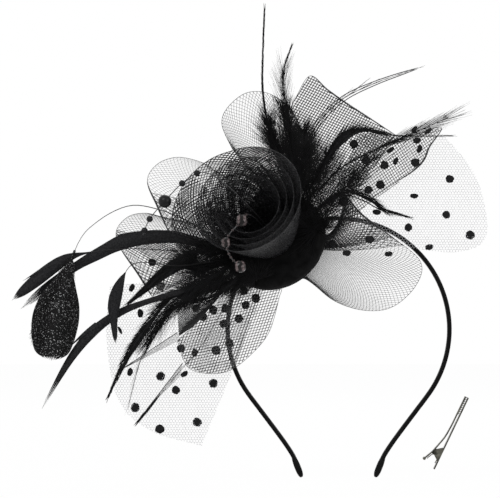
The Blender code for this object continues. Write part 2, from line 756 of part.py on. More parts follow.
def add_ears(target, name, points, outer):
    """Two lugs joined to a jaw, at the same distance each side of its middle, drilled for the pin."""
    for side in (-1, 1):
        lug = cutter(f"{name}_lug_{side + 1}", outline(name + "_lug", points, CLIP_SHEET / 2), clip_frame)
        lug.location.z = side * (outer - LUG_INSET - CLIP_SHEET / 2)
        boolean(target, lug, "UNION")
    drill = cutter(name + "_drill", rod_mesh(name + "_drill", HOLE, -CLIP_WIDTH, CLIP_WIDTH), clip_frame)
    boolean(target, drill, "DIFFERENCE")


low = (-CLIP_TAIL, FLOOR - CLIP_SHEET, -HALF_WIDTH)
high = (CLIP_JAW, FLOOR, HALF_WIDTH)
jaw = place("clip_lower_jaw", box_mesh("clip_lower_jaw", low, high), NICKEL, clip_frame)
add_ears(jaw, "jaw", ear_outline(CLIP_EAR_RADIUS, FLOOR - CLIP_SHEET / 2, CLIP_EAR_FOOT), HALF_WIDTH)


def strip_sides(points, half, steps):
    """The two edges of a bent strip of even thickness along the smooth curve through points."""
    middle = [Vector((x, y)) * MM for x, y in points]
    upper, lower = [], []
    for i in range(steps + 1):
        t = i / steps
        ahead = (smooth(middle, min(t + 0.01, 1.0)) - smooth(middle, max(t - 0.01, 0.0))).normalized()
        out = Vector((-ahead.y, ahead.x)) * half
        upper.append(tuple(smooth(middle, t) + out))
        lower.append(tuple(smooth(middle, t) - out))
    return upper, lower


teeth = []
for i in range(CLIP_TEETH):
    x = CLIP_JAW - i * CLIP_TOOTH
    teeth += [(x, FLOOR + GAP), (x - CLIP_TOOTH * 0.9, FLOOR + GAP + CLIP_TOOTH_DEPTH)]
lever_upper, lever_lower = strip_sides(CLIP_LEVER_MIDDLE, CLIP_SHEET / 2, 14)
lever_tip = (CLIP_JAW, FLOOR + GAP + CLIP_TOOTH_DEPTH + CLIP_SHEET)
lever_points = [*lever_lower, *reversed(teeth), lever_tip, *reversed(lever_upper)]
lever = place("clip_upper_lever", outline("clip_upper_lever", lever_points, LEVER_HALF), NICKEL, clip_frame)
roll = cutter("lever_roll", rod_mesh("lever_roll", CLIP_ROLL, -LEVER_HALF, LEVER_HALF, 16), clip_frame)
roll.location = (*(Vector(CLIP_LEVER_MIDDLE[0]) * MM), 0.0)
boolean(lever, roll, "UNION")
lever_foot = CLIP_LEVER_MIDDLE[2][1] * MM  # the lever's height over the pin
lever_ear = [(x, -y) for x, y in ear_outline(CLIP_EAR_RADIUS - 0.1 * MM, -lever_foot, CLIP_LEVER_FOOT)]
add_ears(lever, "lever", lever_ear, LEVER_HALF)

head = HALF_WIDTH + GAP
pin_profile = [
    (0.0, -head - CLIP_SHEET),
    (CLIP_PIN_HEAD, -head - CLIP_SHEET),
    (CLIP_PIN_HEAD, -head),
    (CLIP_PIN_RADIUS, -head),
    (CLIP_PIN_RADIUS, head),
    (CLIP_PIN_HEAD, head),
    (CLIP_PIN_HEAD, head + CLIP_SHEET),
    (0.0, head + CLIP_SHEET),
]
turned("clip_hinge_pin", pin_profile, 20, NICKEL, clip_frame)

leaf_upper, leaf_lower = strip_sides(CLIP_LEAF_ROUTE, CLIP_LEAF / 2, 14)
leaf_points = [*leaf_lower, *reversed(leaf_upper)]
place("clip_spring", outline("clip_spring", leaf_points, CLIP_LEAF_HALF), NICKEL, clip_frame)
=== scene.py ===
"""Looks of a black fascinator headpiece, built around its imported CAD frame.

Metres, +Z up, as worn. The viewer looks along +Y. Each section below is one piece, in the order of assembly.
"""

import math
import random

import bmesh
import bpy
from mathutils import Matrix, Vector
from mathutils.bvhtree import BVHTree


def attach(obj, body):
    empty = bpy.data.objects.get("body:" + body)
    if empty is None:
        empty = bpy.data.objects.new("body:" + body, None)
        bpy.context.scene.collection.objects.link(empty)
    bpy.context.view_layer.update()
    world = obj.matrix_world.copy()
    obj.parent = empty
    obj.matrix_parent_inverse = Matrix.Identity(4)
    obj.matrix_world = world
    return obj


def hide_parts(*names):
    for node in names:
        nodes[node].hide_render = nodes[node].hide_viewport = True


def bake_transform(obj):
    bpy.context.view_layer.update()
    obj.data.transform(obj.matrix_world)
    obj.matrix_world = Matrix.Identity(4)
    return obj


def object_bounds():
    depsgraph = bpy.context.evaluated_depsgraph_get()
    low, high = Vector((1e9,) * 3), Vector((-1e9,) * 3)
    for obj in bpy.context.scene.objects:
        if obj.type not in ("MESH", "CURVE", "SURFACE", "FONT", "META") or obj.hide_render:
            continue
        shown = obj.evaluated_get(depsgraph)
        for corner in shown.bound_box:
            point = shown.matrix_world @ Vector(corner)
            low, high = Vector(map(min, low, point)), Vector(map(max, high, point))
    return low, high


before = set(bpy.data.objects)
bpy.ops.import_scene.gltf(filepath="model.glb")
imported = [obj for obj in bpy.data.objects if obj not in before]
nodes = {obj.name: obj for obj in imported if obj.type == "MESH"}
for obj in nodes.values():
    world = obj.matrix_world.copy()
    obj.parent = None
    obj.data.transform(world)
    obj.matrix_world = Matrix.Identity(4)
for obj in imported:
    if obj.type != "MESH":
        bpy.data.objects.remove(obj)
cad_low, cad_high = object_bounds()
MM = 0.001

# Studio: a pale floor just under the tips of the band, soft light from above and both sides, white all round.
# The camera stands level with the headpiece, straight in front and far off, for the photograph's flat view.
PHOTO_WIDTH = 295 * MM  # what the frame takes in at the headpiece
PHOTO_MIDDLE = (-52.2 * MM, -16.6 * MM)  # across and up
CAMERA_DISTANCE = 3.0
SENSOR = 36.0
FLOOR_HALF = 3.0
FLOOR_DROP = 0.6 * MM  # below the lowest tip
LAMPS_AIM = Vector((-0.03, 0.0, -0.03))
WHITE = (1.0, 1.0, 1.0, 1.0)
ROOM_TINT = (0.97, 0.98, 1.0, 1.0)
ROOM_STRENGTH = 0.6
PAPER = (0.9, 0.9, 0.9, 1.0)
PAPER_ROUGHNESS = 0.9
PAPER_GLOW = 0.97  # share of plain white where the camera sees it


def show(name, data):
    """A new object in the scene."""
    made = bpy.data.objects.new(name, data)
    bpy.context.scene.collection.objects.link(made)
    return made


def node(tree, kind, inputs=None, **traits):
    """The outputs of a new node, its inputs given values or linked to other nodes' outputs."""
    made = tree.nodes.new(kind)
    for trait, value in traits.items():
        setattr(made, trait, value)
    for socket, value in (inputs or {}).items():
        if isinstance(value, bpy.types.NodeSocket):
            tree.links.new(value, made.inputs[socket])
        else:
            made.inputs[socket].default_value = value
    return made.outputs


def seen_white(tree):
    """A socket that is 1 for rays that should see the plain white background."""
    path = node(tree, "ShaderNodeLightPath")
    total = path["Is Camera Ray"]
    for name in ("Is Glossy Ray", "Is Transmission Ray"):
        total = node(tree, "ShaderNodeMath", {0: total, 1: path[name]}, operation="MAXIMUM")[0]
    return total


camera_data = bpy.data.cameras.new("front_camera")
camera_data.sensor_width = SENSOR
camera_data.lens = SENSOR * CAMERA_DISTANCE / PHOTO_WIDTH
camera = show("front_camera", camera_data)
camera.location = (PHOTO_MIDDLE[0], -CAMERA_DISTANCE, PHOTO_MIDDLE[1])
camera.rotation_euler = (math.pi / 2, 0.0, 0.0)
bpy.context.scene.camera = camera
bpy.context.scene.view_settings.view_transform = "Standard"

world = bpy.data.worlds.new("white_room")
world.use_nodes = True
bpy.context.scene.world = world
room = world.node_tree
room_light = room.nodes["Background"]
room_light.inputs["Color"].default_value = ROOM_TINT
room_light.inputs["Strength"].default_value = ROOM_STRENGTH
backdrop = node(room, "ShaderNodeBackground", {"Color": WHITE})
pick = node(room, "ShaderNodeMixShader", {0: seen_white(room), 1: room_light.outputs[0], 2: backdrop[0]})
room.links.new(pick[0], room.nodes["World Output"].inputs["Surface"])

for name, spot, size, watts in (
    ("key_lamp", (-0.9, -1.3, 1.2), 0.9, 14.0),
    ("fill_lamp", (1.2, -1.2, 0.5), 0.9, 6.0),
    ("back_lamp", (0.2, 1.4, 1.1), 0.8, 8.0),
):
    lamp_data = bpy.data.lights.new(name, "AREA")
    lamp_data.size = size
    lamp_data.energy = watts
    lamp = show(name, lamp_data)
    lamp.location = spot
    lamp.rotation_euler = (LAMPS_AIM - Vector(spot)).to_track_quat("-Z", "Y").to_euler()

paper = bpy.data.materials.new("floor_paper")
paper.use_nodes = True
paper_tree = paper.node_tree
matt = paper_tree.nodes["Principled BSDF"]
matt.inputs["Base Color"].default_value = PAPER
matt.inputs["Roughness"].default_value = PAPER_ROUGHNESS
glow = node(paper_tree, "ShaderNodeEmission")
share = node(paper_tree, "ShaderNodeMath", {0: seen_white(paper_tree), 1: PAPER_GLOW}, operation="MULTIPLY")
both = node(paper_tree, "ShaderNodeMixShader", {0: share[0], 1: matt.outputs[0], 2: glow[0]})
paper_tree.links.new(both[0], paper_tree.nodes["Material Output"].inputs["Surface"])
floor_mesh = bpy.data.meshes.new("floor")
floor_corners = [(-1, -1), (1, -1), (1, 1), (-1, 1)]
floor_level = cad_low.z - FLOOR_DROP
floor_points = [(x * FLOOR_HALF, y * FLOOR_HALF, floor_level) for x, y in floor_corners]
floor_mesh.from_pydata(floor_points, [], [(0, 1, 2, 3)])
floor_mesh.materials.append(paper)
floor = show("floor", floor_mesh)

# Steel core: a flat strip of spring steel, bent to the head and hidden inside the satin.
# It keeps the band's grip, and shows only if the cover is taken off.


def finish(name, specular, others=None):
    """A new material; others gives more values of its main shader."""
    made = bpy.data.materials.new(name)
    made.use_nodes = True
    shader = made.node_tree.nodes["Principled BSDF"]
    for socket, value in {"Specular IOR Level": specular, **(others or {})}.items():
        shader.inputs[socket].default_value = value
    return made


def texture(made, kind, scale, detail, others=None):
    """The outputs of a texture on the piece's own coordinates, with features about 1 / scale apart."""
    where = node(made.node_tree, "ShaderNodeTexCoord")
    inputs = {"Vector": where["Object"], "Scale": scale, "Detail": detail, **(others or {})}
    return node(made.node_tree, kind, inputs)


def noise(made, scale, detail=2.0):
    """The value of a noise texture."""
    return texture(made, "ShaderNodeTexNoise", scale, detail)[0]


MOTTLE_STOPS = (0.3, 0.7)  # where on a value the two shades lie


def mottle(made, source, low, high, roughness):
    """Colour that wanders between two shades with a value, as the roughness does if it is a pair."""
    tree = made.node_tree
    shader = tree.nodes["Principled BSDF"]
    ramp = tree.nodes.new("ShaderNodeValToRGB")
    for stop, shade, position in zip(ramp.color_ramp.elements, (low, high), MOTTLE_STOPS):
        stop.color = (*shade, 1.0)
        stop.position = position
    tree.links.new(source, ramp.inputs[0])
    tree.links.new(ramp.outputs[0], shader.inputs["Base Color"])
    if isinstance(roughness, tuple):
        inputs = {"Value": source, "To Min": roughness[0], "To Max": roughness[1]}
        tree.links.new(node(tree, "ShaderNodeMapRange", inputs)[0], shader.inputs["Roughness"])
    else:
        shader.inputs["Roughness"].default_value = roughness


def relief(made, source, depth, strength):
    """Bump of a real depth in metres from a value."""
    tree = made.node_tree
    bump = node(tree, "ShaderNodeBump", {"Height": source, "Distance": depth, "Strength": strength})
    tree.links.new(bump[0], tree.nodes["Principled BSDF"].inputs["Normal"])


def clad(name, material):
    """Gives a CAD node that shows as it is a material."""
    nodes[name].data.materials.clear()
    nodes[name].data.materials.append(material)


spring_steel = finish("spring_steel", 0.5, {"Metallic": 1.0})
mottle(spring_steel, noise(spring_steel, 900.0), (0.30, 0.30, 0.31), (0.40, 0.40, 0.41), (0.32, 0.5))
clad("band_core", spring_steel)

# Satin cover: a strip of black satin pulled round the core and closed by a lapped seam inside the bow.
# Each end is finished with a small doubled cap of the same satin.
BAND_RADIUS = 65.5 * MM
BAND_ARC_DEG = 127.0
BAND_MIDDLE = Vector((0.0, 0.0, -64.0 * MM))  # of the arc
ARC_STEPS = 22
LEG_LENGTH = 53.0 * MM
LEG_TURN_DEG = 15.0
LEG_LATE = 5  # power that keeps the turn to the last part of a leg
LEG_STEPS = 6
COVER_HALF = 1.25 * MM
COVER_HALF_WIDTH = 3.2 * MM
COVER_ROUND = 1.0 * MM
COVER_STEPS = 260
LAP = 0.22 * MM  # how far the lapped edge stands up
LAP_FROM = 0.05 * MM
LAP_TO = 0.5 * MM
CAP_WALL = 0.6 * MM
CAP_ROUND = 1.4 * MM
CAP_BACK = 8.5 * MM
CAP_FRONT = 4.0 * MM
CAP_TUCK = 0.3  # how much narrower a cap begins, so that it swells out of the cover
CAP_SWELL = 0.45  # share of a cap's length over which it does so
CAP_BODY = 0.5  # share of its length before its end is rounded off
CAP_TAPER = 0.9  # how much of its section is gone at its end
CAP_STEPS = 24
CORNER_STEPS = 4
SIDEWAYS = Vector((0.0, -1.0, 0.0))


def smooth(points, t):
    """A point on the smooth curve through a list of points, t from 0 to 1."""
    spans = len(points) - 1
    i = min(int(t * spans), spans - 1)
    s = t * spans - i
    before = points[max(i - 1, 0)]
    start, end = points[i], points[i + 1]
    after = points[min(i + 2, spans)]
    bend = 2 * before - 5 * start + 4 * end - after
    twist = 3 * start - before - 3 * end + after
    return start + 0.5 * s * ((end - before) + s * (bend + s * twist))


def heading(points, t, near=0.004):
    """The direction of that curve."""
    return (smooth(points, min(t + near, 1.0)) - smooth(points, max(t - near, 0.0))).normalized()


def blend(a, b, t):
    return a + (b - a) * t


def shares(count):
    """Even steps from 0 to 1."""
    return [i / count for i in range(count + 1)]


def front_ray(degrees):
    """A direction in the front view, from +X toward +Z."""
    return Vector((math.cos(math.radians(degrees)), 0.0, math.sin(math.radians(degrees))))


def band_line():
    """The band's centre line, from the left tip to the right tip."""
    right = [BAND_MIDDLE + front_ray(90.0 - BAND_ARC_DEG * t) * BAND_RADIUS for t in shares(ARC_STEPS)]
    for i in range(LEG_STEPS):
        turn = LEG_TURN_DEG * (i / (LEG_STEPS - 1)) ** LEG_LATE
        right.append(right[-1] + front_ray(turn - BAND_ARC_DEG) * LEG_LENGTH / LEG_STEPS)
    return [Vector((-p.x, 0.0, p.z)) for p in reversed(right[1:])] + right


def round_section(half, half_width, corner):
    """A rounded rectangle as outward and sideways distances, starting at the middle of its inner side."""
    loop = [(-half, 0.0)]
    for out, side, start in ((-1, 1, 180), (1, 1, 90), (1, -1, 0), (-1, -1, -90)):
        for t in shares(CORNER_STEPS):
            angle = math.radians(start - 90.0 * t)
            away = out * (half - corner) + corner * math.cos(angle)
            loop.append((away, side * (half_width - corner) + corner * math.sin(angle)))
    return loop


def skin(rings, capped=False, closed=False, cut=False):
    """A mesh over a row of rings; a ring of one point is a tip, and cut gives facets."""
    bm = bmesh.new()
    rows = [[bm.verts.new(point) for point in ring] for ring in rings]
    steps = max(len(row) for row in rows)
    following_rows = rows[1:] + rows[:1] if closed else rows[1:]
    for i, (row, following) in enumerate(zip(rows, following_rows)):
        for k in range(steps):
            a, b = row[k % len(row)], row[(k + 1) % len(row)]
            c, d = following[(k + 1) % len(following)], following[k % len(following)]
            if not cut or i == len(rows) - 1:
                bm.faces.new(list(dict.fromkeys((a, b, c, d))))
            elif i % 2 == 0:
                bm.faces.new((a, b, d))
                bm.faces.new((b, c, d))
            else:
                bm.faces.new((a, b, c))
                bm.faces.new((a, c, d))
    if capped:
        bm.faces.new(rows[0])
        bm.faces.new(list(reversed(rows[-1])))
    bmesh.ops.recalc_face_normals(bm, faces=bm.faces)
    for face in bm.faces:
        face.smooth = not cut and len(face.verts) <= 4
    mesh = bpy.data.meshes.new("skin")
    bm.to_mesh(mesh)
    bm.free()
    return mesh


def sweep(stations, loop, sizes):
    """A closed tube of one section along stations, each a place with its outward and sideways directions."""
    rings = []
    for (spot, out, side), size in zip(stations, sizes):
        rings.append([spot + (out * a + side * b) * size for a, b in loop])
    return skin(rings, capped=True)


def piece(name, mesh, slot, *stands_for, material=None, body="headpiece"):
    """A finished piece on its CAD body, in place of the nodes it stands for."""
    made = show(name, mesh)
    mesh.name = name
    if material:
        mesh.materials.append(material)
    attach(made, body)
    if stands_for:
        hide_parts(*stands_for)
    return made


satin = finish("black_satin", 0.06, {"Anisotropic": 0.5, "Sheen Weight": 0.01})
mottle(satin, noise(satin, 160.0), (0.002, 0.002, 0.002), (0.005, 0.005, 0.005), (0.34, 0.5))
weft = texture(satin, "ShaderNodeTexWave", 900.0, 1.0, {"Distortion": 1.5})
relief(satin, weft[1], 0.02 * MM, 0.4)

line = band_line()
stations = []
for t in shares(COVER_STEPS):
    stations.append((smooth(line, t), SIDEWAYS.cross(heading(line, t, 0.002)).normalized(), SIDEWAYS))
cover_loop = round_section(COVER_HALF, COVER_HALF_WIDTH, COVER_ROUND)
lapped = [(-COVER_HALF - LAP, LAP_FROM), (-COVER_HALF - LAP, LAP_TO), *cover_loop[1:], (-COVER_HALF, 0.0)]
cover = sweep(stations, lapped, [1.0] * len(stations))
piece("satin_cover", cover, "satin", "band_satin_sleeve", material=satin)

cap_loop = round_section(COVER_HALF + CAP_WALL, COVER_HALF_WIDTH + CAP_WALL, CAP_ROUND)
cap_sizes = []
for share_along in shares(CAP_STEPS):
    start = max(0.0, 1.0 - share_along / CAP_SWELL)
    rounding = max(0.0, share_along - CAP_BODY) / (1.0 - CAP_BODY)
    cap_sizes.append((1.0 - CAP_TUCK * start**2) * math.sqrt(1.0 - CAP_TAPER * rounding**3))
for side, end, inner in (("left", line[0], line[1]), ("right", line[-1], line[-2])):
    ahead = (end - inner).normalized()
    outward = SIDEWAYS.cross(ahead).normalized()
    places = [end + ahead * blend(-CAP_BACK, CAP_FRONT, t) for t in shares(CAP_STEPS)]
    cap = sweep([(place, outward, SIDEWAYS) for place in places], cap_loop, cap_sizes)
    piece(side + "_satin_cap", cap, "satin", side + "_band_tip", material=satin)

# Felt keeper and lining: a felt loop that holds the button to the band, and a thin felt disc over its back.
# The roots of the veils and crin loops are caught between the lining and the button.
BASE_STATION_DEG = 126.0
BASE_TILT_DEG = 57.0
BASE_AT = Vector((-34.944, -10.488, -15.904)) * MM  # middle of the lining's back
BASE_RADIUS = 31.0 * MM
BASE_BACK = 5.6 * MM  # heights above the lining's back
BASE_TOP = 12.6 * MM
LINING_RADIUS = 27.0 * MM
LINING_THICKNESS = 2.0 * MM
LINING_ROUND = 0.5 * MM
LINING_INSET = 0.4 * MM  # of its upper edge
LINING_STEPS = 96
LINING_WOBBLE = 0.06 * MM
KEEPER_EDGE = 0.5 * MM
WELD = 0.001 * MM
FLAT_ANGLE = 0.02  # radians; faces closer than this become one
SHARP_ANGLE = 0.5  # radians; edges sharper than this are rounded
FIBRE_RADIUS = 0.03 * MM
FIBRE_LEAN = 0.9  # radians about each axis, either way
FIBRE_LENGTH = 0.7 * MM
FIBRES = 0.5  # per square millimetre

tilt = math.radians(BASE_TILT_DEG)
TOWARD_VIEWER = Vector((0.0, -1.0, 0.0))
AXIS_U = front_ray(BASE_STATION_DEG - 90.0)
AXIS_H = front_ray(BASE_STATION_DEG) * math.cos(tilt) + TOWARD_VIEWER * math.sin(tilt)
AXIS_V = AXIS_H.cross(AXIS_U)


def on_base(u, v, h):
    """A point from the base's own axes, h above the lining's back."""
    return BASE_AT + AXIS_U * u + AXIS_V * v + AXIS_H * h


def lathe(profile, steps, wobble):
    """A solid turned about the base's axis from a profile of radius and height."""
    rng = random.Random(7)
    rings = []
    for radius, height in profile:
        ring = []
        for k in range(steps if radius else 1):
            angle = 2 * math.pi * k / steps
            far = radius + wobble * rng.uniform(-1, 1) if radius else 0.0
            ring.append(on_base(far * math.cos(angle), far * math.sin(angle), height))
        rings.append(ring)
    return skin(rings)


felt = finish("black_felt", 0.03, {"Sheen Weight": 0.02})
mottle(felt, noise(felt, 220.0, 3.0), (0.004, 0.004, 0.004), (0.010, 0.010, 0.010), 0.95)
relief(felt, noise(felt, 1400.0, 5.0), 0.15 * MM, 0.7)


def new_tree(name, **kinds):
    """A new geometry node tree, its input sockets and the identifiers of those after the mesh."""
    tree = bpy.data.node_groups.new(name, "GeometryNodeTree")
    names = []
    for label, kind in {"Geometry": "Geometry", **kinds}.items():
        made = tree.interface.new_socket(label, in_out="INPUT", socket_type="NodeSocket" + kind)
        names.append(made.identifier)
    tree.interface.new_socket("Geometry", in_out="OUTPUT", socket_type="NodeSocketGeometry")
    return tree, list(node(tree, "NodeGroupInput"))[: len(names)], names[1:]


def painted(tree, shape, material):
    """Ends a tree: its instances made real, in one material."""
    whole = node(tree, "GeometryNodeRealizeInstances", {0: shape})
    paint = node(tree, "GeometryNodeSetMaterial", {"Geometry": whole[0], "Material": material})
    node(tree, "NodeGroupOutput", {0: paint[0]})


def fuzz_tree():
    """Stands short fibres on every face of a mesh, leaning at random."""
    kinds = {"Density": "Float", "Length": "Float", "Material": "Material"}
    tree, (mesh, density, length, stuff), names = new_tree("felt_fuzz", **kinds)
    scatter = node(tree, "GeometryNodeDistributePointsOnFaces", {"Mesh": mesh, "Density": density, "Seed": 3})
    size = {"Radius Bottom": FIBRE_RADIUS, "Radius Top": 0.0, "Depth": length}
    fibre = node(tree, "GeometryNodeMeshCone", {"Vertices": 3, **size})
    limits = {0: (-FIBRE_LEAN,) * 3, 1: (FIBRE_LEAN,) * 3, "Seed": 5}
    lean = node(tree, "FunctionNodeRandomValue", limits, data_type="FLOAT_VECTOR")
    tip = node(tree, "FunctionNodeRotateRotation", {0: scatter["Rotation"], 1: lean[0]})
    inputs = {"Points": scatter["Points"], "Instance": fibre["Mesh"], "Rotation": tip[0]}
    stand = node(tree, "GeometryNodeInstanceOnPoints", inputs)
    coat = tree.nodes.new("GeometryNodeJoinGeometry")
    for part in (stand[0], mesh):
        tree.links.new(part, coat.inputs[0])
    painted(tree, coat.outputs[0], stuff)
    return tree, *names


def changed(mesh, kind, traits, inputs=None):
    """The plain mesh that one modifier makes from a mesh."""
    holder = show("holder", mesh)
    change = holder.modifiers.new("change", kind)
    for trait, value in traits.items():
        setattr(change, trait, value)
    for identifier, value in (inputs or {}).items():
        change[identifier] = value
    bpy.context.view_layer.update()
    made = bpy.data.meshes.new_from_object(holder.evaluated_get(bpy.context.evaluated_depsgraph_get()))
    bpy.data.objects.remove(holder)
    return made


FUZZ, FUZZ_DENSITY, FUZZ_LENGTH, FUZZ_STUFF = fuzz_tree()


def felted(name, mesh, per_square_mm, length, stands_for):
    """A felt piece with loose fibres on its surface."""
    settings = {FUZZ_DENSITY: per_square_mm / MM**2, FUZZ_LENGTH: length, FUZZ_STUFF: felt}
    piece(name, changed(mesh, "NODES", {"node_group": FUZZ}, settings), "felt", stands_for)


lining_profile = [(0.0, 0.0)]
for angle in (0.0, 0.8, 1.5):
    inset, rise = 1.0 - math.sin(angle), 1.0 - math.cos(angle)
    lining_profile.append((LINING_RADIUS - LINING_ROUND * inset, LINING_ROUND * rise))
lining_profile.append((LINING_RADIUS, LINING_THICKNESS - LINING_ROUND))
lining_profile += [(LINING_RADIUS - LINING_INSET, LINING_THICKNESS), (0.0, LINING_THICKNESS)]
lining = lathe(lining_profile, LINING_STEPS, LINING_WOBBLE)
felted("felt_lining", lining, FIBRES, FIBRE_LENGTH, "base_lining")


def softened(name, width, levels):
    """A copy of a CAD node's mesh, merged, with its edges rounded."""
    bm = bmesh.new()
    bm.from_mesh(nodes[name].data)
    bmesh.ops.remove_doubles(bm, verts=bm.verts, dist=WELD)
    bmesh.ops.dissolve_limit(bm, angle_limit=FLAT_ANGLE, verts=bm.verts, edges=bm.edges)
    mesh = bpy.data.meshes.new(name + "_soft")
    bm.to_mesh(mesh)
    bm.free()
    rounding = {"width": width, "segments": levels, "limit_method": "ANGLE", "angle_limit": SHARP_ANGLE}
    return changed(mesh, "BEVEL", rounding)


felted("felt_keeper", softened("band_keeper", KEEPER_EDGE, 2), FIBRES, FIBRE_LENGTH, "band_keeper")

# Veils: two pieces of black tulle, gathered under the button and spread to the right and the lower left.
# The net is a fine hexagon mesh that catches the light, with round flocked dots stuck on both sides of it.
VEIL_HEIGHT = 2.7 * MM
LAYER = 1.1 * MM
ROOT_DEPTH = 14.0 * MM
ROOT_OUT = -2.0 * MM
ROOT_SHARE = 0.3  # of a sheet's reach that lies flat under the button
VEIL_HOLD = 0.12
VEIL_GRID = (72, 60)
FOLD_DEPTH = 2.0 * MM
FOLD_RIPPLE = 0.5 * MM
FOLD_FROM = 0.4  # where on a veil's reach its folds begin
VIEW_AT = Vector((-36.736, -21.055, -13.436)) * MM  # the front view's zero point
TULLE_CELL = 1.7 * MM
TULLE_THREAD = 0.17 * MM
DOT_RADIUS = 2.7 * MM
DOT_RISE = 0.32 * MM
DOT_MARKS = 22
DOT_ROWS = ((0.7, 0.28), (1.0, 0.0), (0.7, -0.28))  # share of the radius, and height in millimetres
DOT_GRID = 60  # steps of the search for a dot's place on a sheet
DOT_FROM = 18  # the first of them that is clear of the button
DOT_STRAY = 5.0 * MM  # how far from its place a sheet may pass for a dot to be left out


def in_front_view(right, up, forward):
    """A point in millimetres as the viewer sees it, from the middle of the button."""
    return VIEW_AT + Vector((right, -forward, up)) * MM


def rooted(span, layer, hold, end, u, v):
    """A point of a sheet that runs from under the button to its free edge."""
    angle = math.radians(blend(span[0], span[1], u))
    ray = AXIS_U * math.cos(angle) + AXIS_V * math.sin(angle)
    level = BASE_AT + AXIS_H * (VEIL_HEIGHT + layer * LAYER)
    if v <= ROOT_SHARE:
        return level + ray * (BASE_RADIUS + blend(-ROOT_DEPTH, ROOT_OUT, v / ROOT_SHARE))
    start = level + ray * (BASE_RADIUS + ROOT_OUT)
    s = (v - ROOT_SHARE) / (1.0 - ROOT_SHARE)
    lead = start + ray * hold * (end - start).length
    return start * (1 - s) ** 2 + lead * 2 * s * (1 - s) + end * s * s


# Edges are places in the front view with their depth. Dots are places, some flattened along a direction.
VEILS = {
    "right": dict(
        span=(-34, 4),
        edge=[(74, -2, -16), (106, -5, -16), (123, 3, -14), (122, 26, -14), (113, 47, -15), (92, 71, -16)],
        flat=(0.12, 0.11),
        area=0.0056,
        dots=[(102, 38), (81, 28, 0.58, 3), (100, 17), (77.5, 9.5, 0.85, 70), (114, 5), (90, -2, 0.68, 22)]
        + [(59, 18.5, 0.6, 0)],
    ),
    "lower_left": dict(
        span=(168, 222),
        edge=[(-98, -25, -15), (-100, -56, -14), (-93, -92, -13), (-74, -110, -12), (-44, -119, -12)],
        flat=(0.12, 0.12),
        area=0.0076,
        dots=[(-85, -26, 0.6, 65), (-80, -41, 0.65, 90), (-92, -51, 0.35, 112), (-86, -75.5, 0.65, 70)]
        + [(-83, -96.5), (-68, -78), (-59, -86), (-54, -76.5, 0.62, 10), (-37, -82), (-46.5, -105)]
        + [(-68.5, -109), (-68, -25, 0.8, 20), (-43, -43), (-37, -39), (-30, -38), (-31, -47), (-22, -44)]
        + [(-18, -36), (-12, -32), (-56, -61.5), (-48, -64, 0.8, 70), (-35.5, -62.5), (-27.5, -58.5)]
        + [(-19, -28), (-47, -38)],
    ),
}

tulle = finish("black_tulle", 0.2)
mottle(tulle, noise(tulle, 300.0), (0.34, 0.34, 0.35), (0.50, 0.50, 0.51), 0.5)


def hexagon_net(made, cell, thread):
    """Alpha that is 1 on the threads of a hexagon net laid out on the piece's UV map in metres."""
    tree = made.node_tree
    tall = math.sqrt(3.0)
    cells_off = 1000.0  # keeps the layout on the positive side, where it repeats evenly

    def vector(operation, a, b=None):
        inputs = {0: a} if b is None else {0: a, 1: b}
        return node(tree, "ShaderNodeVectorMath", inputs, operation=operation)

    def number(operation, a, b):
        return node(tree, "ShaderNodeMath", {0: a, 1: b}, operation=operation)[0]

    half = (0.5, tall / 2, 0.5)
    laid = vector("MULTIPLY", node(tree, "ShaderNodeUVMap")[0], (1 / cell, 1 / cell, 0.0))[0]
    laid = vector("ADD", laid, (cells_off, cells_off * tall, 0.0))[0]
    offsets = []
    for place in (laid, vector("SUBTRACT", laid, half)[0]):
        repeated = vector("MODULO", place, (1.0, tall, 1.0))[0]
        offsets.append(vector("MULTIPLY", vector("SUBTRACT", repeated, half)[0], (1.0, 1.0, 0.0))[0])
    near, other = offsets
    choose = number("LESS_THAN", vector("LENGTH", other)["Value"], vector("LENGTH", near)["Value"])
    mixed = node(tree, "ShaderNodeMix", {"Factor": choose, 4: near, 5: other}, data_type="VECTOR")
    inside = vector("ABSOLUTE", mixed[1])[0]
    slanted = vector("DOT_PRODUCT", inside, (0.5, tall / 2, 0.0))["Value"]
    straight = vector("DOT_PRODUCT", inside, (1.0, 0.0, 0.0))["Value"]
    on_thread = number("GREATER_THAN", number("MAXIMUM", slanted, straight), 0.5 - 0.5 * thread / cell)
    tree.links.new(on_thread, tree.nodes["Principled BSDF"].inputs["Alpha"])


hexagon_net(tulle, TULLE_CELL, TULLE_THREAD)


def veil_point(veil, u, v):
    """A point of a veil, its soft folds opening toward the edge."""
    end = smooth([in_front_view(*corner) for corner in veil["edge"]], u)
    spot = rooted(veil["span"], 0, VEIL_HOLD, end, u, v)
    fold = FOLD_DEPTH * math.sin(6 * math.pi * u) + FOLD_RIPPLE * math.sin(17 * u + 3 * v)
    return spot + TOWARD_VIEWER * fold * max(0.0, v - FOLD_FROM) / (1.0 - FOLD_FROM)


def cloth(point_at, across, along):
    """An open sheet from a formula; its UV map is its front view in metres, for an even net."""
    width = across + 1
    points = [point_at(i / across, j / along) for j in range(along + 1) for i in range(width)]
    corners = [j * width + i for j in range(along) for i in range(across)]
    faces = [(a, a + 1, a + width + 1, a + width) for a in corners]
    mesh = bpy.data.meshes.new("cloth")
    mesh.from_pydata(points, [], faces)
    layout = mesh.uv_layers.new(name="front")
    for loop in mesh.loops:
        layout.data[loop.index].uv = (points[loop.vertex_index].x, points[loop.vertex_index].z)
    mesh.polygons.foreach_set("use_smooth", [True] * len(faces))
    return mesh


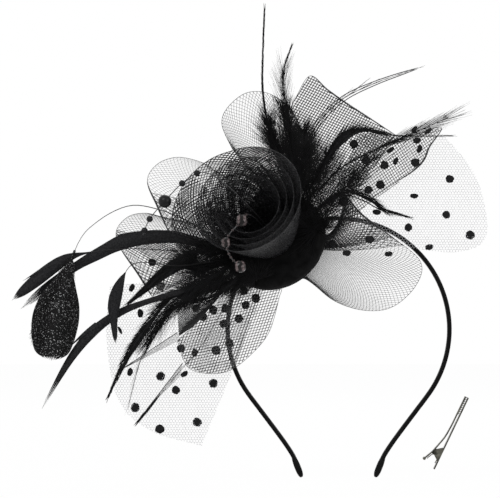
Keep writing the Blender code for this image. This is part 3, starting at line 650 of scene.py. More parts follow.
def dot_tree():
    """Sets a domed disc on every point, with the facing, spin and size that the point carries."""
    tree, (points, disc, stuff), names = new_tree("flocked_dots", Disc="Object", Material="Material")

    def stored(name):
        return node(tree, "GeometryNodeInputNamedAttribute", {"Name": name}, data_type="FLOAT_VECTOR")[0]

    shape = node(tree, "GeometryNodeObjectInfo", {"Object": disc})
    turn = node(tree, "FunctionNodeAlignRotationToVector", {"Vector": stored("facing")}, axis="Z")
    spun = node(tree, "FunctionNodeRotateRotation", {0: turn[0], 1: stored("spin")}, rotation_space="LOCAL")
    inputs = {"Points": points, "Instance": shape["Geometry"], "Rotation": spun[0], "Scale": stored("size")}
    painted(tree, node(tree, "GeometryNodeInstanceOnPoints", inputs)[0], stuff)
    return tree, *names


flock = finish("flock", 0.05)
pile = noise(flock, 2500.0, 4.0)
mottle(flock, pile, (0.006, 0.006, 0.006), (0.022, 0.022, 0.023), 0.9)
relief(flock, pile, 0.1 * MM, 0.8)

ragged = random.Random(11)
rim = [DOT_RADIUS * ragged.uniform(0.9, 1.06) for _ in range(DOT_MARKS)]
dot_rings = [[(0.0, 0.0, DOT_RISE)]]
for share_out, rise in DOT_ROWS:
    ring = []
    for k, radius in enumerate(rim):
        angle = 2 * math.pi * k / DOT_MARKS
        ring.append((radius * share_out * math.cos(angle), radius * share_out * math.sin(angle), rise * MM))
    dot_rings.append(ring)
dot_rings.append([(0.0, 0.0, -DOT_RISE)])
dot_shape = show("dot_shape", skin(dot_rings))
DOTS, DOT_SHAPE, DOT_STUFF = dot_tree()


def dots_on(spots, point_at):
    """Flocked dots where a sheet passes behind places in the front view."""
    samples = [(u, v) for u in shares(DOT_GRID) for v in shares(DOT_GRID)[DOT_FROM:]]
    places = [(u, v, point_at(u, v)) for u, v in samples]
    near = 0.01
    points, carried = [], {"facing": [], "spin": [], "size": []}
    for right, up, *shape in spots:
        flattened, degrees = shape or (1.0, ragged.uniform(0.0, 180.0))
        aim = in_front_view(right, up, 0.0)
        u, v, spot = min(places, key=lambda p: (p[2].x - aim.x) ** 2 + (p[2].z - aim.z) ** 2)
        if math.hypot(spot.x - aim.x, spot.z - aim.z) > DOT_STRAY:
            continue
        along_u = point_at(min(u + near, 1.0), v) - point_at(max(u - near, 0.0), v)
        along_v = point_at(u, min(v + near, 1.0)) - point_at(u, max(v - near, 0.0))
        facing = along_u.cross(along_v).normalized()
        grow = ragged.uniform(0.92, 1.06)
        points.append(Vector((aim.x, spot.y, aim.z)))
        carried["facing"] += tuple(facing if facing.dot(TOWARD_VIEWER) > 0 else -facing)
        carried["spin"] += (0.0, 0.0, math.radians(degrees))
        carried["size"] += (grow, grow * flattened, 1.0)
    mesh = bpy.data.meshes.new("dots")
    mesh.from_pydata(points, [], [])
    for kind, values in carried.items():
        mesh.attributes.new(kind, "FLOAT_VECTOR", "POINT").data.foreach_set("vector", values)
    return changed(mesh, "NODES", {"node_group": DOTS}, {DOT_SHAPE: dot_shape, DOT_STUFF: flock})


for key, veil in VEILS.items():

    def point_at(u, v, veil=veil):
        return veil_point(veil, u, v)

    net = cloth(point_at, *VEIL_GRID)
    sheet = piece("tulle_veil_" + key, net, "tulle", "veil_" + key, material=tulle)
    dots = piece("tulle_dots_" + key, dots_on(veil["dots"], point_at), "tulle")

# Crin loops: stiff nylon net, woven on the bias, folded into loops round the button and sewn flat under it.
# Each loop lists its plies, since parts of it are folded double: their share of the free edge, and the
# radius of their thread in millimetres. Dark hems are shares of the free edge too, and a weave is the two
# directions of its threads in the front view. The loop called fold is a dotted corner over the right veil.
LOBE_HOLD = 0.35
LOBES = {
    "upper_right": dict(
        span=(-8, 34),
        layer=1,
        edge=[(70, 64), (55.5, 73.5), (41, 83), (30, 91), (20, 99), (12, 87), (6, 74)],
        depth=(-14, -20, -24),
        plies=[(0, 1, 0.3)],
        weave=(58, -24),
        hems=[(0, 0.67)],
    ),
    "top": dict(
        span=(42, 72),
        layer=2,
        edge=[(14, 70), (7, 81), (-5, 89), (-18, 89), (-29, 80), (-32, 70), (-26, 56)],
        depth=(-24, -28, -18),
        plies=[(0, 1, 0.11), (0, 0.3, 0.1), (0.93, 1, 0.12)],
        hems=[(0, 0.3)],
    ),
    "upper_left": dict(
        span=(80, 116),
        layer=1,
        edge=[(-36, 43), (-44, 48), (-58, 51), (-70, 47), (-76, 37), (-70, 22), (-63, 6)],
        depth=(-22, -22, -14),
        plies=[(0, 1, 0.08), (0.75, 1, 0.16), (0.79, 1, 0.14)],
        hems=[(0.67, 1)],
    ),
    "left": dict(
        span=(124, 162),
        layer=2,
        edge=[(-68, 16), (-77, 18), (-87, 16), (-94, 8), (-92, -2), (-81, -18), (-73, -31)],
        depth=(-24, -14, -4),
        plies=[(0, 1, 0.11), (0.5, 1, 0.17), (0.5, 1, 0.14)],
        hems=[(0.67, 1), (0.7, 1)],
        dots=[(-73, -11)],
    ),
    "bottom": dict(
        span=(190, 244),
        layer=1,
        edge=[(-58, -57), (-52, -72), (-40, -76), (-27, -74), (-14, -64), (-4, -51), (2, -30)],
        depth=(2, 5, 8),
        plies=[(0, 1, 0.205), (0, 0.52, 0.1)],
        weave=(12, 70),
        hems=[],
        tails=[((-58, -52), (-56, -56), (-93, -75)), ((-55, -70), (-56, -77), (-76, -97))],
        flap=[(-33, -31, 10), (-58, -39, 9), (-57, -54, 9), (-48, -48, 10)],
    ),
    "right": dict(
        span=(270, 330),
        layer=2,
        edge=[(18, -20), (33, -33), (51, -39), (68, -37), (82, -24), (84, -10), (66, 5), (50, 17), (40, 29)],
        depth=(8, 2, 8),
        plies=[(0, 1, 0.11), (0.74, 1, 0.2), (0.7, 0.98, 0.2)],
        hems=[(0.7, 1)],
        dots=[(41, -5.5, 0.7, 0), (65.5, -6, 0.6, 15), (32.5, -0.5), (54.5, 2.5, 0.8, 0), (39, 24.5)],
    ),
    "fold": dict(
        span=(-26, 4),
        layer=2,
        edge=[(58, 28), (70, 36), (80, 42.5), (86.5, 49), (90, 57)]
        + [(97, 68), (84, 65), (72, 63), (60, 65), (48, 64)],
        depth=(-5, -6, -6),
        plies=[(0, 1, 0.2), (0.7, 1, 0.11)],
        weave=(35, -60),
        hems=[(0.1, 0.56)],
        dots=[(45.5, 58.5), (52.5, 49), (67, 55, 0.55, 30), (63.5, 46), (70, 48.5, 0.55, 55), (81.5, 47.5)]
        + [(84, 55.5, 0.6, 70), (82.5, 60.5, 0.75, 0), (81, 67, 0.55, 50), (89, 66, 0.5, 35)]
        + [(61, 34.5), (54, 31.5)],
    ),
}
CRIN_PITCH = 1.55 * MM  # between threads at the selvedge, square to them
PLY_SHIFTS = (0.4 * MM, -0.4 * MM, 0.0)  # of each ply toward the viewer
PLY_SPREAD = 0.07  # how much wider each further ply is woven
SELVEDGE = 0.16 * MM
HEM = 0.65 * MM
HEM_MARKS = 40
RIM_MARKS = 40
WEAVE_STEP = 1.0 * MM
WEAVE_FOOT = -0.4  # how far under the button an even weave begins, as a share of the root
WEAVE_GRID = (60, 40)
BIAS_MARKS = 22
BIAS_FOOT = (-0.5, -0.1)  # where under the button a thread is led in, as shares of the root
SHORTEST = 0.04  # share of a strip's width that a thread must cross
EDGES = ((True, 1.0, 60), (False, 0.0, 24), (False, 1.0, 24))  # along the rim or not, where, and marks
TAIL_THREADS = 9
TAIL_MARKS = 8
TAIL_DEPTHS = (2.0, -4.0)  # millimetres, at its start and its tip
TAIL_RADII = (0.3, 0.1, 0.06)  # millimetres, of its first thread, of the others and at the tip
FLAP_SIZE = (14 * MM, 26 * MM)
FLAP_PITCH = 0.85 * MM
FLAP_THREAD = 0.21 * MM
FLAP_MARKS = 12

crin = finish("black_crin", 0.3)
mottle(crin, noise(crin, 700.0), (0.006, 0.006, 0.007), (0.016, 0.016, 0.017), (0.22, 0.42))


def strand_tree():
    """Sweeps a thin strand along every chain of edges, as thick at each point as its own attribute says."""
    kinds = {"Sides": "Int", "Section": "Vector", "Material": "Material"}
    tree, (chains, sides, section, stuff), names = new_tree("strands", **kinds)
    route = node(tree, "GeometryNodeMeshToCurve", {"Mesh": chains})
    turned = {"Curve": route[0], "Normal": TOWARD_VIEWER}
    facing = node(tree, "GeometryNodeSetCurveNormal", turned, mode="FREE")
    circle = node(tree, "GeometryNodeCurvePrimitiveCircle", {"Resolution": sides, "Radius": 1.0})
    flattened = node(tree, "GeometryNodeTransform", {"Geometry": circle["Curve"], "Scale": section})
    thick = node(tree, "GeometryNodeInputNamedAttribute", {"Name": "thick"})
    inputs = {"Curve": facing[0], "Profile Curve": flattened[0], "Scale": thick[0], "Fill Caps": True}
    painted(tree, node(tree, "GeometryNodeCurveToMesh", inputs)[0], stuff)
    return tree, *names


STRANDS, STRAND_SIDES, STRAND_SECTION, STRAND_STUFF = strand_tree()


def strands(lines, material, sides=3, flat=1.0):
    """One mesh of thin strands; each line is its points and its half width at each of them."""
    points, edges, radii = [], [], []
    for line_points, line_radii in lines:
        first = len(points)
        points += line_points
        radii += line_radii
        edges += [(first + i, first + i + 1) for i in range(len(line_points) - 1)]
    mesh = bpy.data.meshes.new("strands")
    mesh.from_pydata(points, edges, [])
    mesh.attributes.new("thick", "FLOAT", "POINT").data.foreach_set("value", radii)
    settings = {STRAND_SIDES: sides, STRAND_SECTION: (flat, 1.0, 1.0), STRAND_STUFF: material}
    return changed(mesh, "NODES", {"node_group": STRANDS}, settings)


def even(run, radius):
    """A strand of one thickness."""
    return run, [radius] * len(run)


def bias_threads(surface, length, width, pitch, radius, steps, root=()):
    """Two crossing families of threads over a strip, u along its length and v across its width."""
    lean = width / length
    step_u = pitch * math.sqrt(2.0) / length
    lines = []
    for way in (1, -1):
        for k in range(int((1.0 + lean) / step_u) + 1):
            begin = k * step_u - (lean if way > 0 else 0.0)
            low = max(0.0, -begin / lean if way > 0 else (begin - 1.0) / lean)
            high = min(1.0, (1.0 - begin) / lean if way > 0 else begin / lean)
            if high - low < SHORTEST:
                continue
            marks = max(2, round(steps * (high - low)))
            crossed = [blend(low, high, t) for t in shares(marks)]
            run = [surface(begin + way * lean * v, v) for v in crossed]
            if low == 0.0 and root:
                run = [surface(min(max(begin, 0.0), 1.0), v) for v in root] + run
            lines.append(even(run, radius))
    return lines


def even_weave(surface, degrees, pitch, radius):
    """Two families of threads, evenly spaced from the front, wherever the sheet lies under them."""
    sheet = cloth(lambda u, v: surface(u, blend(WEAVE_FOOT, 1.0, v)), *WEAVE_GRID)
    points = [p.co.copy() for p in sheet.vertices]
    under = BVHTree.FromPolygons(points, [f.vertices for f in sheet.polygons])
    bpy.data.meshes.remove(sheet)
    middle = sum(points, Vector()) / len(points)
    half = max((point - middle).length for point in points)
    marks, count = math.ceil(half / WEAVE_STEP) + 1, math.ceil(half / pitch)
    lines = []
    for turn in degrees:
        along = front_ray(turn) * WEAVE_STEP
        aside = front_ray(turn + 90.0) * pitch
        for k in range(-count, count + 1):
            run = []
            for i in range(-marks, marks + 1):
                hit = under.ray_cast(middle + aside * k + along * i + TOWARD_VIEWER, -TOWARD_VIEWER)[0]
                if hit:
                    run.append(hit)
                    continue
                if len(run) > 1:
                    lines.append(even(run, radius))
                run = []
    return lines


def lobe_edge(lobe, u):
    """The selvedge of a loop, its depth passing smoothly through start, middle and end."""
    spot = smooth([Vector((right, up, 0.0)) for right, up in lobe["edge"]], u)
    depth = smooth([Vector((0.0, 0.0, d)) for d in lobe["depth"]], u).z
    return in_front_view(spot.x, spot.y, depth)


def lobe_point(lobe, u, v):
    """A point of a loop, v from its root to its free edge."""
    return rooted(lobe["span"], lobe["layer"], LOBE_HOLD, lobe_edge(lobe, u), u, v)


def length_of(run):
    """The length of a line through points."""
    return sum((after - before).length for before, after in zip(run, run[1:]))


def edge_run(surface, along_u, fixed, marks, radius):
    """A cord along one edge of a strip."""
    return even([surface(t, fixed) if along_u else surface(fixed, t) for t in shares(marks)], radius)


for key, lobe in LOBES.items():
    lines = []
    rim_length = length_of([lobe_edge(lobe, t) for t in shares(RIM_MARKS)])
    for number, (first, last, thread) in enumerate(lobe["plies"]):

        def surface(u, s, lobe=lobe, first=first, last=last, shift=PLY_SHIFTS[number]):
            u = blend(first, last, min(max(u, 0.0), 1.0))
            v = ROOT_SHARE * (1 + s) if s < 0 else blend(ROOT_SHARE, 1.0, s)
            return lobe_point(lobe, u, v) + TOWARD_VIEWER * shift

        reach = (surface(0.5, 1.0) - surface(0.5, 0.0)).length
        pitch = CRIN_PITCH * (1.0 + PLY_SPREAD * number)
        if "weave" in lobe:
            lines += even_weave(surface, lobe["weave"], pitch, thread * MM)
        else:
            run_length = rim_length * (last - first)
            lines += bias_threads(surface, run_length, reach, pitch, thread * MM, BIAS_MARKS, BIAS_FOOT)
        for along_u, fixed, marks in EDGES:
            lines.append(edge_run(surface, along_u, fixed, marks, SELVEDGE))
    for first, last in lobe["hems"]:
        run = [lobe_edge(lobe, blend(first, last, t)) for t in shares(HEM_MARKS)]
        lines.append((run, [HEM * math.sin(math.pi * (0.1 + 0.8 * t)) for t in shares(HEM_MARKS)]))
    for start, beside, tip in lobe.get("tails", ()):
        for across in shares(TAIL_THREADS - 1):
            begin = blend(Vector((*start, TAIL_DEPTHS[0])), Vector((*beside, TAIL_DEPTHS[0])), across)
            end = Vector((*tip, TAIL_DEPTHS[1]))
            run = [in_front_view(*blend(begin, end, t)) for t in shares(TAIL_MARKS)]
            thick = TAIL_RADII[1] if across else TAIL_RADII[0]
            lines.append((run, [blend(thick, TAIL_RADII[2], t) * MM for t in shares(TAIL_MARKS)]))
    if "flap" in lobe:
        corners = [in_front_view(*corner) for corner in lobe["flap"]]

        def flap(u, v, corners=corners):
            u = min(max(u, 0.0), 1.0)
            return blend(blend(corners[0], corners[1], v), blend(corners[3], corners[2], v), u)

        lines += bias_threads(flap, *FLAP_SIZE, FLAP_PITCH, FLAP_THREAD, FLAP_MARKS)
    piece("crin_loop_" + key, strands(lines, crin), "crin", "crin_lobe_" + key)
    if "dots" in lobe:
        dots = dots_on(lobe["dots"], lambda u, v, lobe=lobe: lobe_point(lobe, u, v))
        piece("crin_dots_" + key, dots, "tulle")
bpy.data.objects.remove(dot_shape)

# Button: a round of thick black felt over card, its edge turned down, glued on top of the crin.
# Everything above it is sewn or glued into this felt.
BASE_ROUND = 3.0 * MM
ROUND_MARKS = 8
BUTTON_STEPS = 128
BUTTON_WOBBLE = 0.05 * MM
BUTTON_FIBRES = 0.8  # per square millimetre
BUTTON_FIBRE_LENGTH = 0.8 * MM
button_profile = [(0.0, BASE_BACK), (BASE_RADIUS * 0.5, BASE_BACK), (BASE_RADIUS - 0.6 * MM, BASE_BACK)]
for t in shares(ROUND_MARKS):
    angle = math.pi / 2 * t
    inset, drop = 1.0 - math.cos(angle), 1.0 - math.sin(angle)
    button_profile.append((BASE_RADIUS - BASE_ROUND * inset, BASE_TOP - BASE_ROUND * drop))
button_profile += [(BASE_RADIUS * 0.6, BASE_TOP), (BASE_RADIUS * 0.3, BASE_TOP), (0.0, BASE_TOP)]
button = lathe(button_profile, BUTTON_STEPS, BUTTON_WOBBLE)
felted("felt_button", button, BUTTON_FIBRES, BUTTON_FIBRE_LENGTH, "base_felt")

# Rose: one long strip of the same crin rolled round itself, tight at the foot and flared at the top.
# Its foot is sewn to the button, and the loose end springs out on the left.
ROSE_TURNS = 4.0
ROSE_INNER = 6.0 * MM
ROSE_FOOT = 14.0 * MM
ROSE_FLARE = 2.6
ROSE_HEIGHT = 50.0 * MM
ROSE_END_DEG = 165.0
ROSE_LOOSE = 10.0 * MM
ROSE_SEAT = 0.3 * MM
ROSE_PITCH = 1.35 * MM
ROSE_SPREAD = 0.06  # how much wider each further ply is woven
ROSE_THREAD = 0.23 * MM
ROSE_RIM = 0.26 * MM
ROSE_MARKS = 400
ROSE_FOOT_MARKS = 300
ROSE_END_MARKS = 24
ROSE_THREAD_MARKS = 14
ROSE_BOWL = 0.8  # power of the flare up the strip
ROSE_START = 0.8  # share of its height at the heart
ROSE_GIRTH = 0.8  # where up the strip its length is measured
# Plies of the strip: from where to where along it, and how far each lies outward of the strip's middle
ROSE_PLIES = [(0.0, 1.0, 0.0), (0.88, 0.955, 0.4 * MM), (0.965, 1.0, -0.4 * MM)]


def rose_point(u, v, out=0.0):
    """A point of the strip, u round the spiral and v up it, moved outward for a further ply."""
    u = min(max(u, 0.0), 1.0)
    angle = math.radians(ROSE_END_DEG) - 2 * math.pi * ROSE_TURNS * (1.0 - u)
    flare = 1.0 + (ROSE_FLARE - 1.0) * v**ROSE_BOWL
    loose = ROSE_LOOSE * max(0.0, 1.0 - (1.0 - u) * ROSE_TURNS * 4.0) * v
    radius = blend(ROSE_INNER, ROSE_FOOT, u) * flare + loose + out * v
    rise = ROSE_HEIGHT * blend(ROSE_START, 1.0, u) * v
    return on_base(radius * math.cos(angle), radius * math.sin(angle), BASE_TOP + ROSE_SEAT + rise)


rose_crin = finish("black_rose_crin", 0.2)
mottle(rose_crin, noise(rose_crin, 700.0), (0.006, 0.006, 0.007), (0.022, 0.022, 0.023), (0.12, 0.4))

rose_length = length_of([rose_point(t, ROSE_GIRTH) for t in shares(ROSE_MARKS)])
rose_lines = []
for number, (first, last, out) in enumerate(ROSE_PLIES):

    def rose_ply(u, v, first=first, last=last, out=out):
        return rose_point(blend(first, last, u), v, out)

    pitch = ROSE_PITCH * (1.0 + ROSE_SPREAD * number)
    strip = (rose_length * (last - first), ROSE_HEIGHT)
    rose_lines += bias_threads(rose_ply, *strip, pitch, ROSE_THREAD, ROSE_THREAD_MARKS)
for along_u, fixed, marks, radius in (
    (True, 1.0, ROSE_MARKS, ROSE_RIM),
    (True, 0.0, ROSE_FOOT_MARKS, SELVEDGE),
    (False, 1.0, ROSE_END_MARKS, HEM),
    (False, 0.0, ROSE_END_MARKS, SELVEDGE),
):
    rose_lines.append(edge_run(rose_point, along_u, fixed, marks, radius))
piece("crin_rose_net", strands(rose_lines, rose_crin), "crin", "crin_rose")

# Feathers: dyed cock and goose feathers, their quills glued to the top of the button round the rose.
# Each has a stiff quill with fine barbs, and down at its foot; the biots and leaves are flat trimmed vanes.
# The marabou is loose curled down.
QUILL = 0.5 * MM
QUILL_FOOT = 3.2 * MM  # how far a quill stands straight out of the felt
QUILL_MARKS = 48
QUILL_THIN = 0.8  # share of its radius that is gone at its tip
BARB_THIN = 0.7  # the same for a barb, and for a strip of a blade
BLADE_BODY = 0.92  # share of a strip before it thins
VANE_SECTION = (6, 0.22)  # sides of a strip, and how flat it is
FIRST_SEED = 100
BARB_MARKS = 5
BLADE_MARKS = 40
SPUR_MARKS = 16
STIFF = dict(wild=0.3, lift=0.12, curl=0.25)
DOWN = dict(wild=0.5, lift=0.45, curl=0.5)
TRIMMED = dict(wild=0.06, lift=0.02, curl=0.3)
LEFT = dict(sides=(-1,))
RIGHT = dict(sides=(1,))
BIOT_HALVES = (1.5, 2.0, 2.4, 2.6, 2.7, 3.1, 3.5, 3.8, 4.0, 3.4, 3.0, 2.4, 2.3, 2.4, 0.3)
# A root is an angle and an inset from the button's edge; a route is places in the front view with depths.
# Barbs and vanes: count, from and to along the quill, reach, lean in degrees, half thickness, manner.
# Blades: strips, from, to, half width, fray, half thickness. Spurs: from, to, side, how far away, width.
# Lengths are in millimetres.
FEATHERS = {
    "plume_tall": dict(
        root=(40, 6),
        route=[(5, 46, -8), (-3, 64, -8), (-8, 92, -6), (-7, 137, -4)],
        quill=1.5,
        barbs=[
            (260, 0.3, 1.0, (6, 6, 5, 4), 7, 0.16, STIFF),
            (430, 0.3, 0.66, (10, 13, 12, 7), 26, 0.13, DOWN),
            (14, 0.6, 0.7, (10, 12, 9), 16, 0.14, STIFF | LEFT),
        ],
    ),
    "plume_short": dict(
        root=(31, 5.5),
        route=[(10, 48, -4), (5, 80, -2), (4, 100, 0), (9, 116, 2)],
        quill=1.2,
        barbs=[
            (150, 0.4, 1.0, (9, 8, 4, 2), 13, 0.09, STIFF),
            (44, 0.55, 0.82, (16, 15, 11), 22, 0.07, STIFF),
            (390, 0.28, 0.6, (13, 15, 12, 7), 30, 0.13, DOWN),
        ],
    ),
    "plume_upper_right": dict(
        root=(21, 5.5),
        route=[(16, 48, 2), (23, 68, 4), (38, 84, 4), (58, 94, 4), (84, 103, 4)],
        barbs=[
            (24, 0.45, 1.0, (4, 4, 3), 7, 0.1, STIFF),
            (6, 0.52, 0.8, (9, 13, 12), 10, 0.16, STIFF | LEFT),
            (160, 0.2, 0.4, (12, 13, 8), 36, 0.11, DOWN),
        ],
        blade=(2, 0.3, 1.0, (0.5, 1.2, 1.6, 1.5, 1.3, 0.9, 0.3), 0.02, 0.3),
    ),
    "plume_curved": dict(
        root=(11, 4.5),
        route=[(28, 47, 8), (38, 61, 8), (50, 66, 8), (73, 63, 8), (102, 63, 8)],
        quill=1.2,
        barbs=[
            (260, 0.22, 0.76, (6, 12, 9, 5), 12, 0.14, STIFF),
            (60, 0.6, 1.0, (6, 5, 3), 8, 0.1, STIFF),
            (240, 0.14, 0.36, (12, 13, 8), 40, 0.12, DOWN),
        ],
        blade=(9, 0.3, 0.78, (0.5, 1.5, 2.3, 2.4, 1.6, 0.8, 0.3), 0.2),
    ),
    "plume_brush": dict(
        root=(2, 4),
        route=[(35, 42, 14), (56, 54, 14), (79, 64, 14), (110, 78, 14)],
        barbs=[
            (90, 0.3, 0.8, (7, 6, 5), 9, 0.09, STIFF),
            (60, 0.62, 0.92, (20, 20, 14), 11, 0.1, STIFF),
            (160, 0.1, 0.42, (13, 14, 9), 38, 0.11, DOWN),
        ],
    ),
    "plume_lower_right": dict(
        root=(-9, 4.5),
        route=[(38, 29, 12), (51, 27, 12), (62, 20.5, 12), (77, 15.5, 12)],
        quill=1.2,
        barbs=[(220, 0.2, 1.0, (12, 11, 8, 3), 9, 0.13, STIFF)],
        blade=(3, 0.3, 0.95, (0.6, 1.6, 1.9, 1.3, 0.4), 0.2, 0.4),
    ),
    "biot_upper": dict(
        root=(160, 6),
        route=[(-42, 0, 12), (-62, 4, 14), (-86, 2, 16), (-104, -6, 16), (-124, -18, 16), (-149, -38, 16)],
        blade=(13, 0.06, 1.0, BIOT_HALVES, 0.03),
    ),
    "biot_lower": dict(
        root=(181, 6),
        route=[(-45, -24, 20), (-70, -32, 20), (-91, -40, 20), (-107, -51.5, 20), (-120.5, -68, 20)]
        + [(-136.5, -96, 20)],
        barbs=[(260, 0.12, 0.33, (9, 11, 9), 50, 0.13, DOWN)],
        blade=(11, 0.12, 1.0, (1.0, 1.1, 1.3, 1.6, 2.2, 2.5, 1.8, 0.4), 0.04),
        spur=(0.68, 0.83, 1, 4.4, 2.0),
    ),
    "leaf_large": dict(
        root=(152, 6),
        route=[(-43, 8, 9), (-54, 14, 11), (-69, 20, 14), (-86, 22, 16), (-104, 13, 20), (-116.5, -2, 22)]
        + [(-128, -41, 23), (-131, -68, 24)],
        blade=(33, 0.785, 1.0, (0.6, 1.6, 6.5, 11.2, 13, 12.8, 11.5, 9, 3), 0.05),
        vane=(260, 0.8, 0.93, (5, 10, 15.5, 17, 15, 10.5), 48, 0.14, TRIMMED),
    ),
    "leaf_long": dict(
        root=(167, 6),
        route=[(-41, -5, 14), (-62, -4, 20), (-86, -3, 21), (-108, -5, 21), (-126, -11, 21), (-154, -33, 21)],
        barbs=[(200, 0.16, 0.36, (8, 10, 8), 48, 0.13, DOWN)],
        blade=(11, 0.71, 1.0, (0.3, 0.7, 1.5, 2.6, 3.3, 3.4, 2.4, 0.2), 0.04),
        spur=(0.86, 0.945, 1, 4.6, 1.7),
    ),
    "leaf_small": dict(
        root=(174, 6),
        route=[(-41, -11, 17), (-58, -13, 24), (-80, -11, 26), (-88.5, -18, 26), (-94.5, -36, 26)]
        + [(-93.5, -58, 26)],
        blade=(11, 0.7, 1.0, (0.3, 1.6, 2.8, 3.3, 3.0, 1.9, 1.3, 0.5), 0.05),
    ),
    "hackle_short": dict(
        root=(177.5, 6),
        route=[(-44, -14, 12), (-52, -10, 11), (-64, -16, 11), (-76, -26, 11), (-89, -37, 11)],
        barbs=[
            (300, 0.16, 0.95, (10, 13, 11, 4), 11, 0.15, STIFF),
            (420, 0.08, 0.52, (9, 11, 12, 9), 52, 0.12, DOWN),
        ],
        blade=(7, 0.25, 1.0, (1.6, 2.8, 3.2, 2.8, 1.6, 0.5), 0.12),
    ),
    "hackle_left": dict(
        root=(195, 6),
        route=[(-40, -26, 16), (-60, -31, 16), (-76, -49, 15), (-87, -66, 15), (-98, -89, 15)],
        barbs=[(340, 0.2, 1.0, (10, 14, 11, 3), 10, 0.17, STIFF)],
        blade=(3, 0.3, 1.0, (0.8, 1.8, 2.2, 2.0, 1.2, 0.4), 0.12, 0.4),
    ),
    "hackle_middle": dict(
        root=(202, 6),
        route=[(-35, -30, 14), (-57, -36, 12), (-72, -53, 10), (-80, -70, 9), (-87, -97, 9)],
        quill=0.7,
        barbs=[
            (220, 0.2, 0.72, (11, 15, 10), 12, 0.12, STIFF),
            (12, 0.7, 0.95, (13, 13, 8), 4, 0.06, STIFF),
            (90, 0.36, 0.62, (13, 15, 10), 34, 0.08, DOWN | LEFT),
        ],
        blade=(2, 0.3, 0.85, (0.8, 1.6, 2.0, 1.6, 1.0, 0.6), 0.1, 0.2),
    ),
    "hackle_lower": dict(
        root=(209, 6),
        route=[(-27, -32, 19), (-44, -60, 16), (-56, -74, 15), (-81, -104, 14)],
        quill=0.4,
        barbs=[
            (18, 0.3, 0.85, (9, 9, 8), 5, 0.06, STIFF),
            (60, 0.89, 0.99, (7, 6, 4), 6, 0.18, STIFF),
        ],
    ),
    "marabou_left": dict(
        root=(218, 2.5),
        route=[(-25, -26, 6), (-40, -26, 5), (-60, -36, 4), (-81, -58, 3)],
        barbs=[
            (1000, 0.1, 0.74, (10, 13, 16, 14, 10), 54, 0.12, DOWN | RIGHT),
            (600, 0.1, 0.74, (7, 7, 8, 9, 9), 50, 0.12, DOWN | LEFT),
            (280, 0.58, 1.0, (13, 13, 10, 6), 28, 0.09, DOWN),
        ],
    ),
    "marabou_right": dict(
        root=(-27, 2.8),
        route=[(36, 28, 20), (47, 40, 20), (57, 50, 19)],
        barbs=[
            (390, 0.05, 0.72, (15, 17, 14, 10, 7), 52, 0.1, DOWN),
            (190, 0.1, 0.34, (12, 14, 13), 140, 0.13, DOWN | RIGHT),
            (170, 0.0, 0.26, (9, 11, 10), 78, 0.13, DOWN),
            (70, 0.6, 1.0, (12, 10, 8), 20, 0.09, DOWN),
        ],
    ),
    "marabou_top": dict(
        root=(36, 2.2),
        route=[(20, 44, -14), (17, 58, -15), (15, 70, -15)],
        barbs=[
            (640, 0.2, 0.92, (12, 15, 14, 10, 6), 46, 0.11, DOWN),
        ],
    ),
}

feather_black = finish("dyed_feather", 0.12)
softness = noise(feather_black, 420.0, 3.0)
mottle(feather_black, softness, (0.005, 0.005, 0.005), (0.014, 0.014, 0.015), (0.45, 0.75))
# Painted glints: a fine noise lightens the vanes' black in small patches that stand in for glints on the
# strips.
vane_black_and_glints = finish("dyed_vane_with_glints", 0.1)
mottle(vane_black_and_glints, noise(vane_black_and_glints, 1300.0, 1.0), (0.004, 0.004, 0.005), (0.022, 0.022, 0.023), (0.3, 0.7))
# Painted glints: where a fine noise peaks, the leaf's black jumps to bright specks that stand in for gloss
# and for light seen through gaps in the vane.
leaf_black_and_glints = finish("dyed_leaf_with_glints", 0.1)
glint_threshold = {0: noise(leaf_black_and_glints, 1400.0, 1.0), 1: 4.0, 2: -2.2}
painted_leaf_glints = node(leaf_black_and_glints.node_tree, "ShaderNodeMath", glint_threshold, operation="MULTIPLY_ADD")
mottle(leaf_black_and_glints, painted_leaf_glints[0], (0.005, 0.005, 0.005), (0.4, 0.4, 0.4), 0.6)


def quill_line(root, route):
    """The points that a feather's quill follows, from the felt to its tip."""
    turn, inset = root
    radius = BASE_RADIUS - inset * MM
    u = radius * math.cos(math.radians(turn))
    v = radius * math.sin(math.radians(turn))
    points = [on_base(u, v, BASE_TOP), on_base(u, v, BASE_TOP + QUILL_FOOT)]
    return points + [in_front_view(*spot) for spot in route]


def at_quill(points, t):
    """A place on a quill with its forward and sideways directions."""
    ahead = heading(points, t)
    side = ahead.cross(TOWARD_VIEWER)
    if side.length < 0.3:
        side = ahead.cross(AXIS_U)
    return smooth(points, t), ahead, side.normalized()


def quill(points, radius):
    """A quill that thins to its tip."""
    run = [smooth(points, t) for t in shares(QUILL_MARKS)]
    return run, [radius * (1.0 - QUILL_THIN * t) for t in shares(QUILL_MARKS)]


def along_row(values, share_along):
    """The place of a share along a row of numbers, passing smoothly through them."""
    return smooth([Vector((value, 0.0)) for value in values], min(max(share_along, 0.0), 1.0)).x


def barbs(points, rng, count, start, end, reach, lean, thick, manner):
    """Fine barbs on a stretch of a quill, leaning off it by some degrees and curling forward."""
    lines = []
    wild, lift, curl = manner["wild"], manner["lift"], manner["curl"]
    marks = shares(BARB_MARKS)
    for k in range(count):
        share_along = (k + rng.random()) / count
        spot, ahead, side = at_quill(points, blend(start, end, share_along))
        for way in manner.get("sides", (1, -1)):
            far = max(0.1, along_row(reach, share_along)) * MM * rng.uniform(1.0 - wild, 1.0 + wild * 0.4)
            angle = math.radians(lean * rng.uniform(1.0 - wild, 1.0 + wild))
            away = ahead * math.cos(angle) + side * way * math.sin(angle)
            away = (away + TOWARD_VIEWER * rng.uniform(-lift, lift)).normalized()
            bend = ahead * curl * rng.uniform(0.3, 1.4) + side * curl * lift * rng.uniform(-1.0, 1.0)
            run = [spot + (away * s + bend * s * s) * far for s in marks]
            lines.append((run, [thick * MM * (1.0 - BARB_THIN * s**1.5) for s in marks]))
    return lines


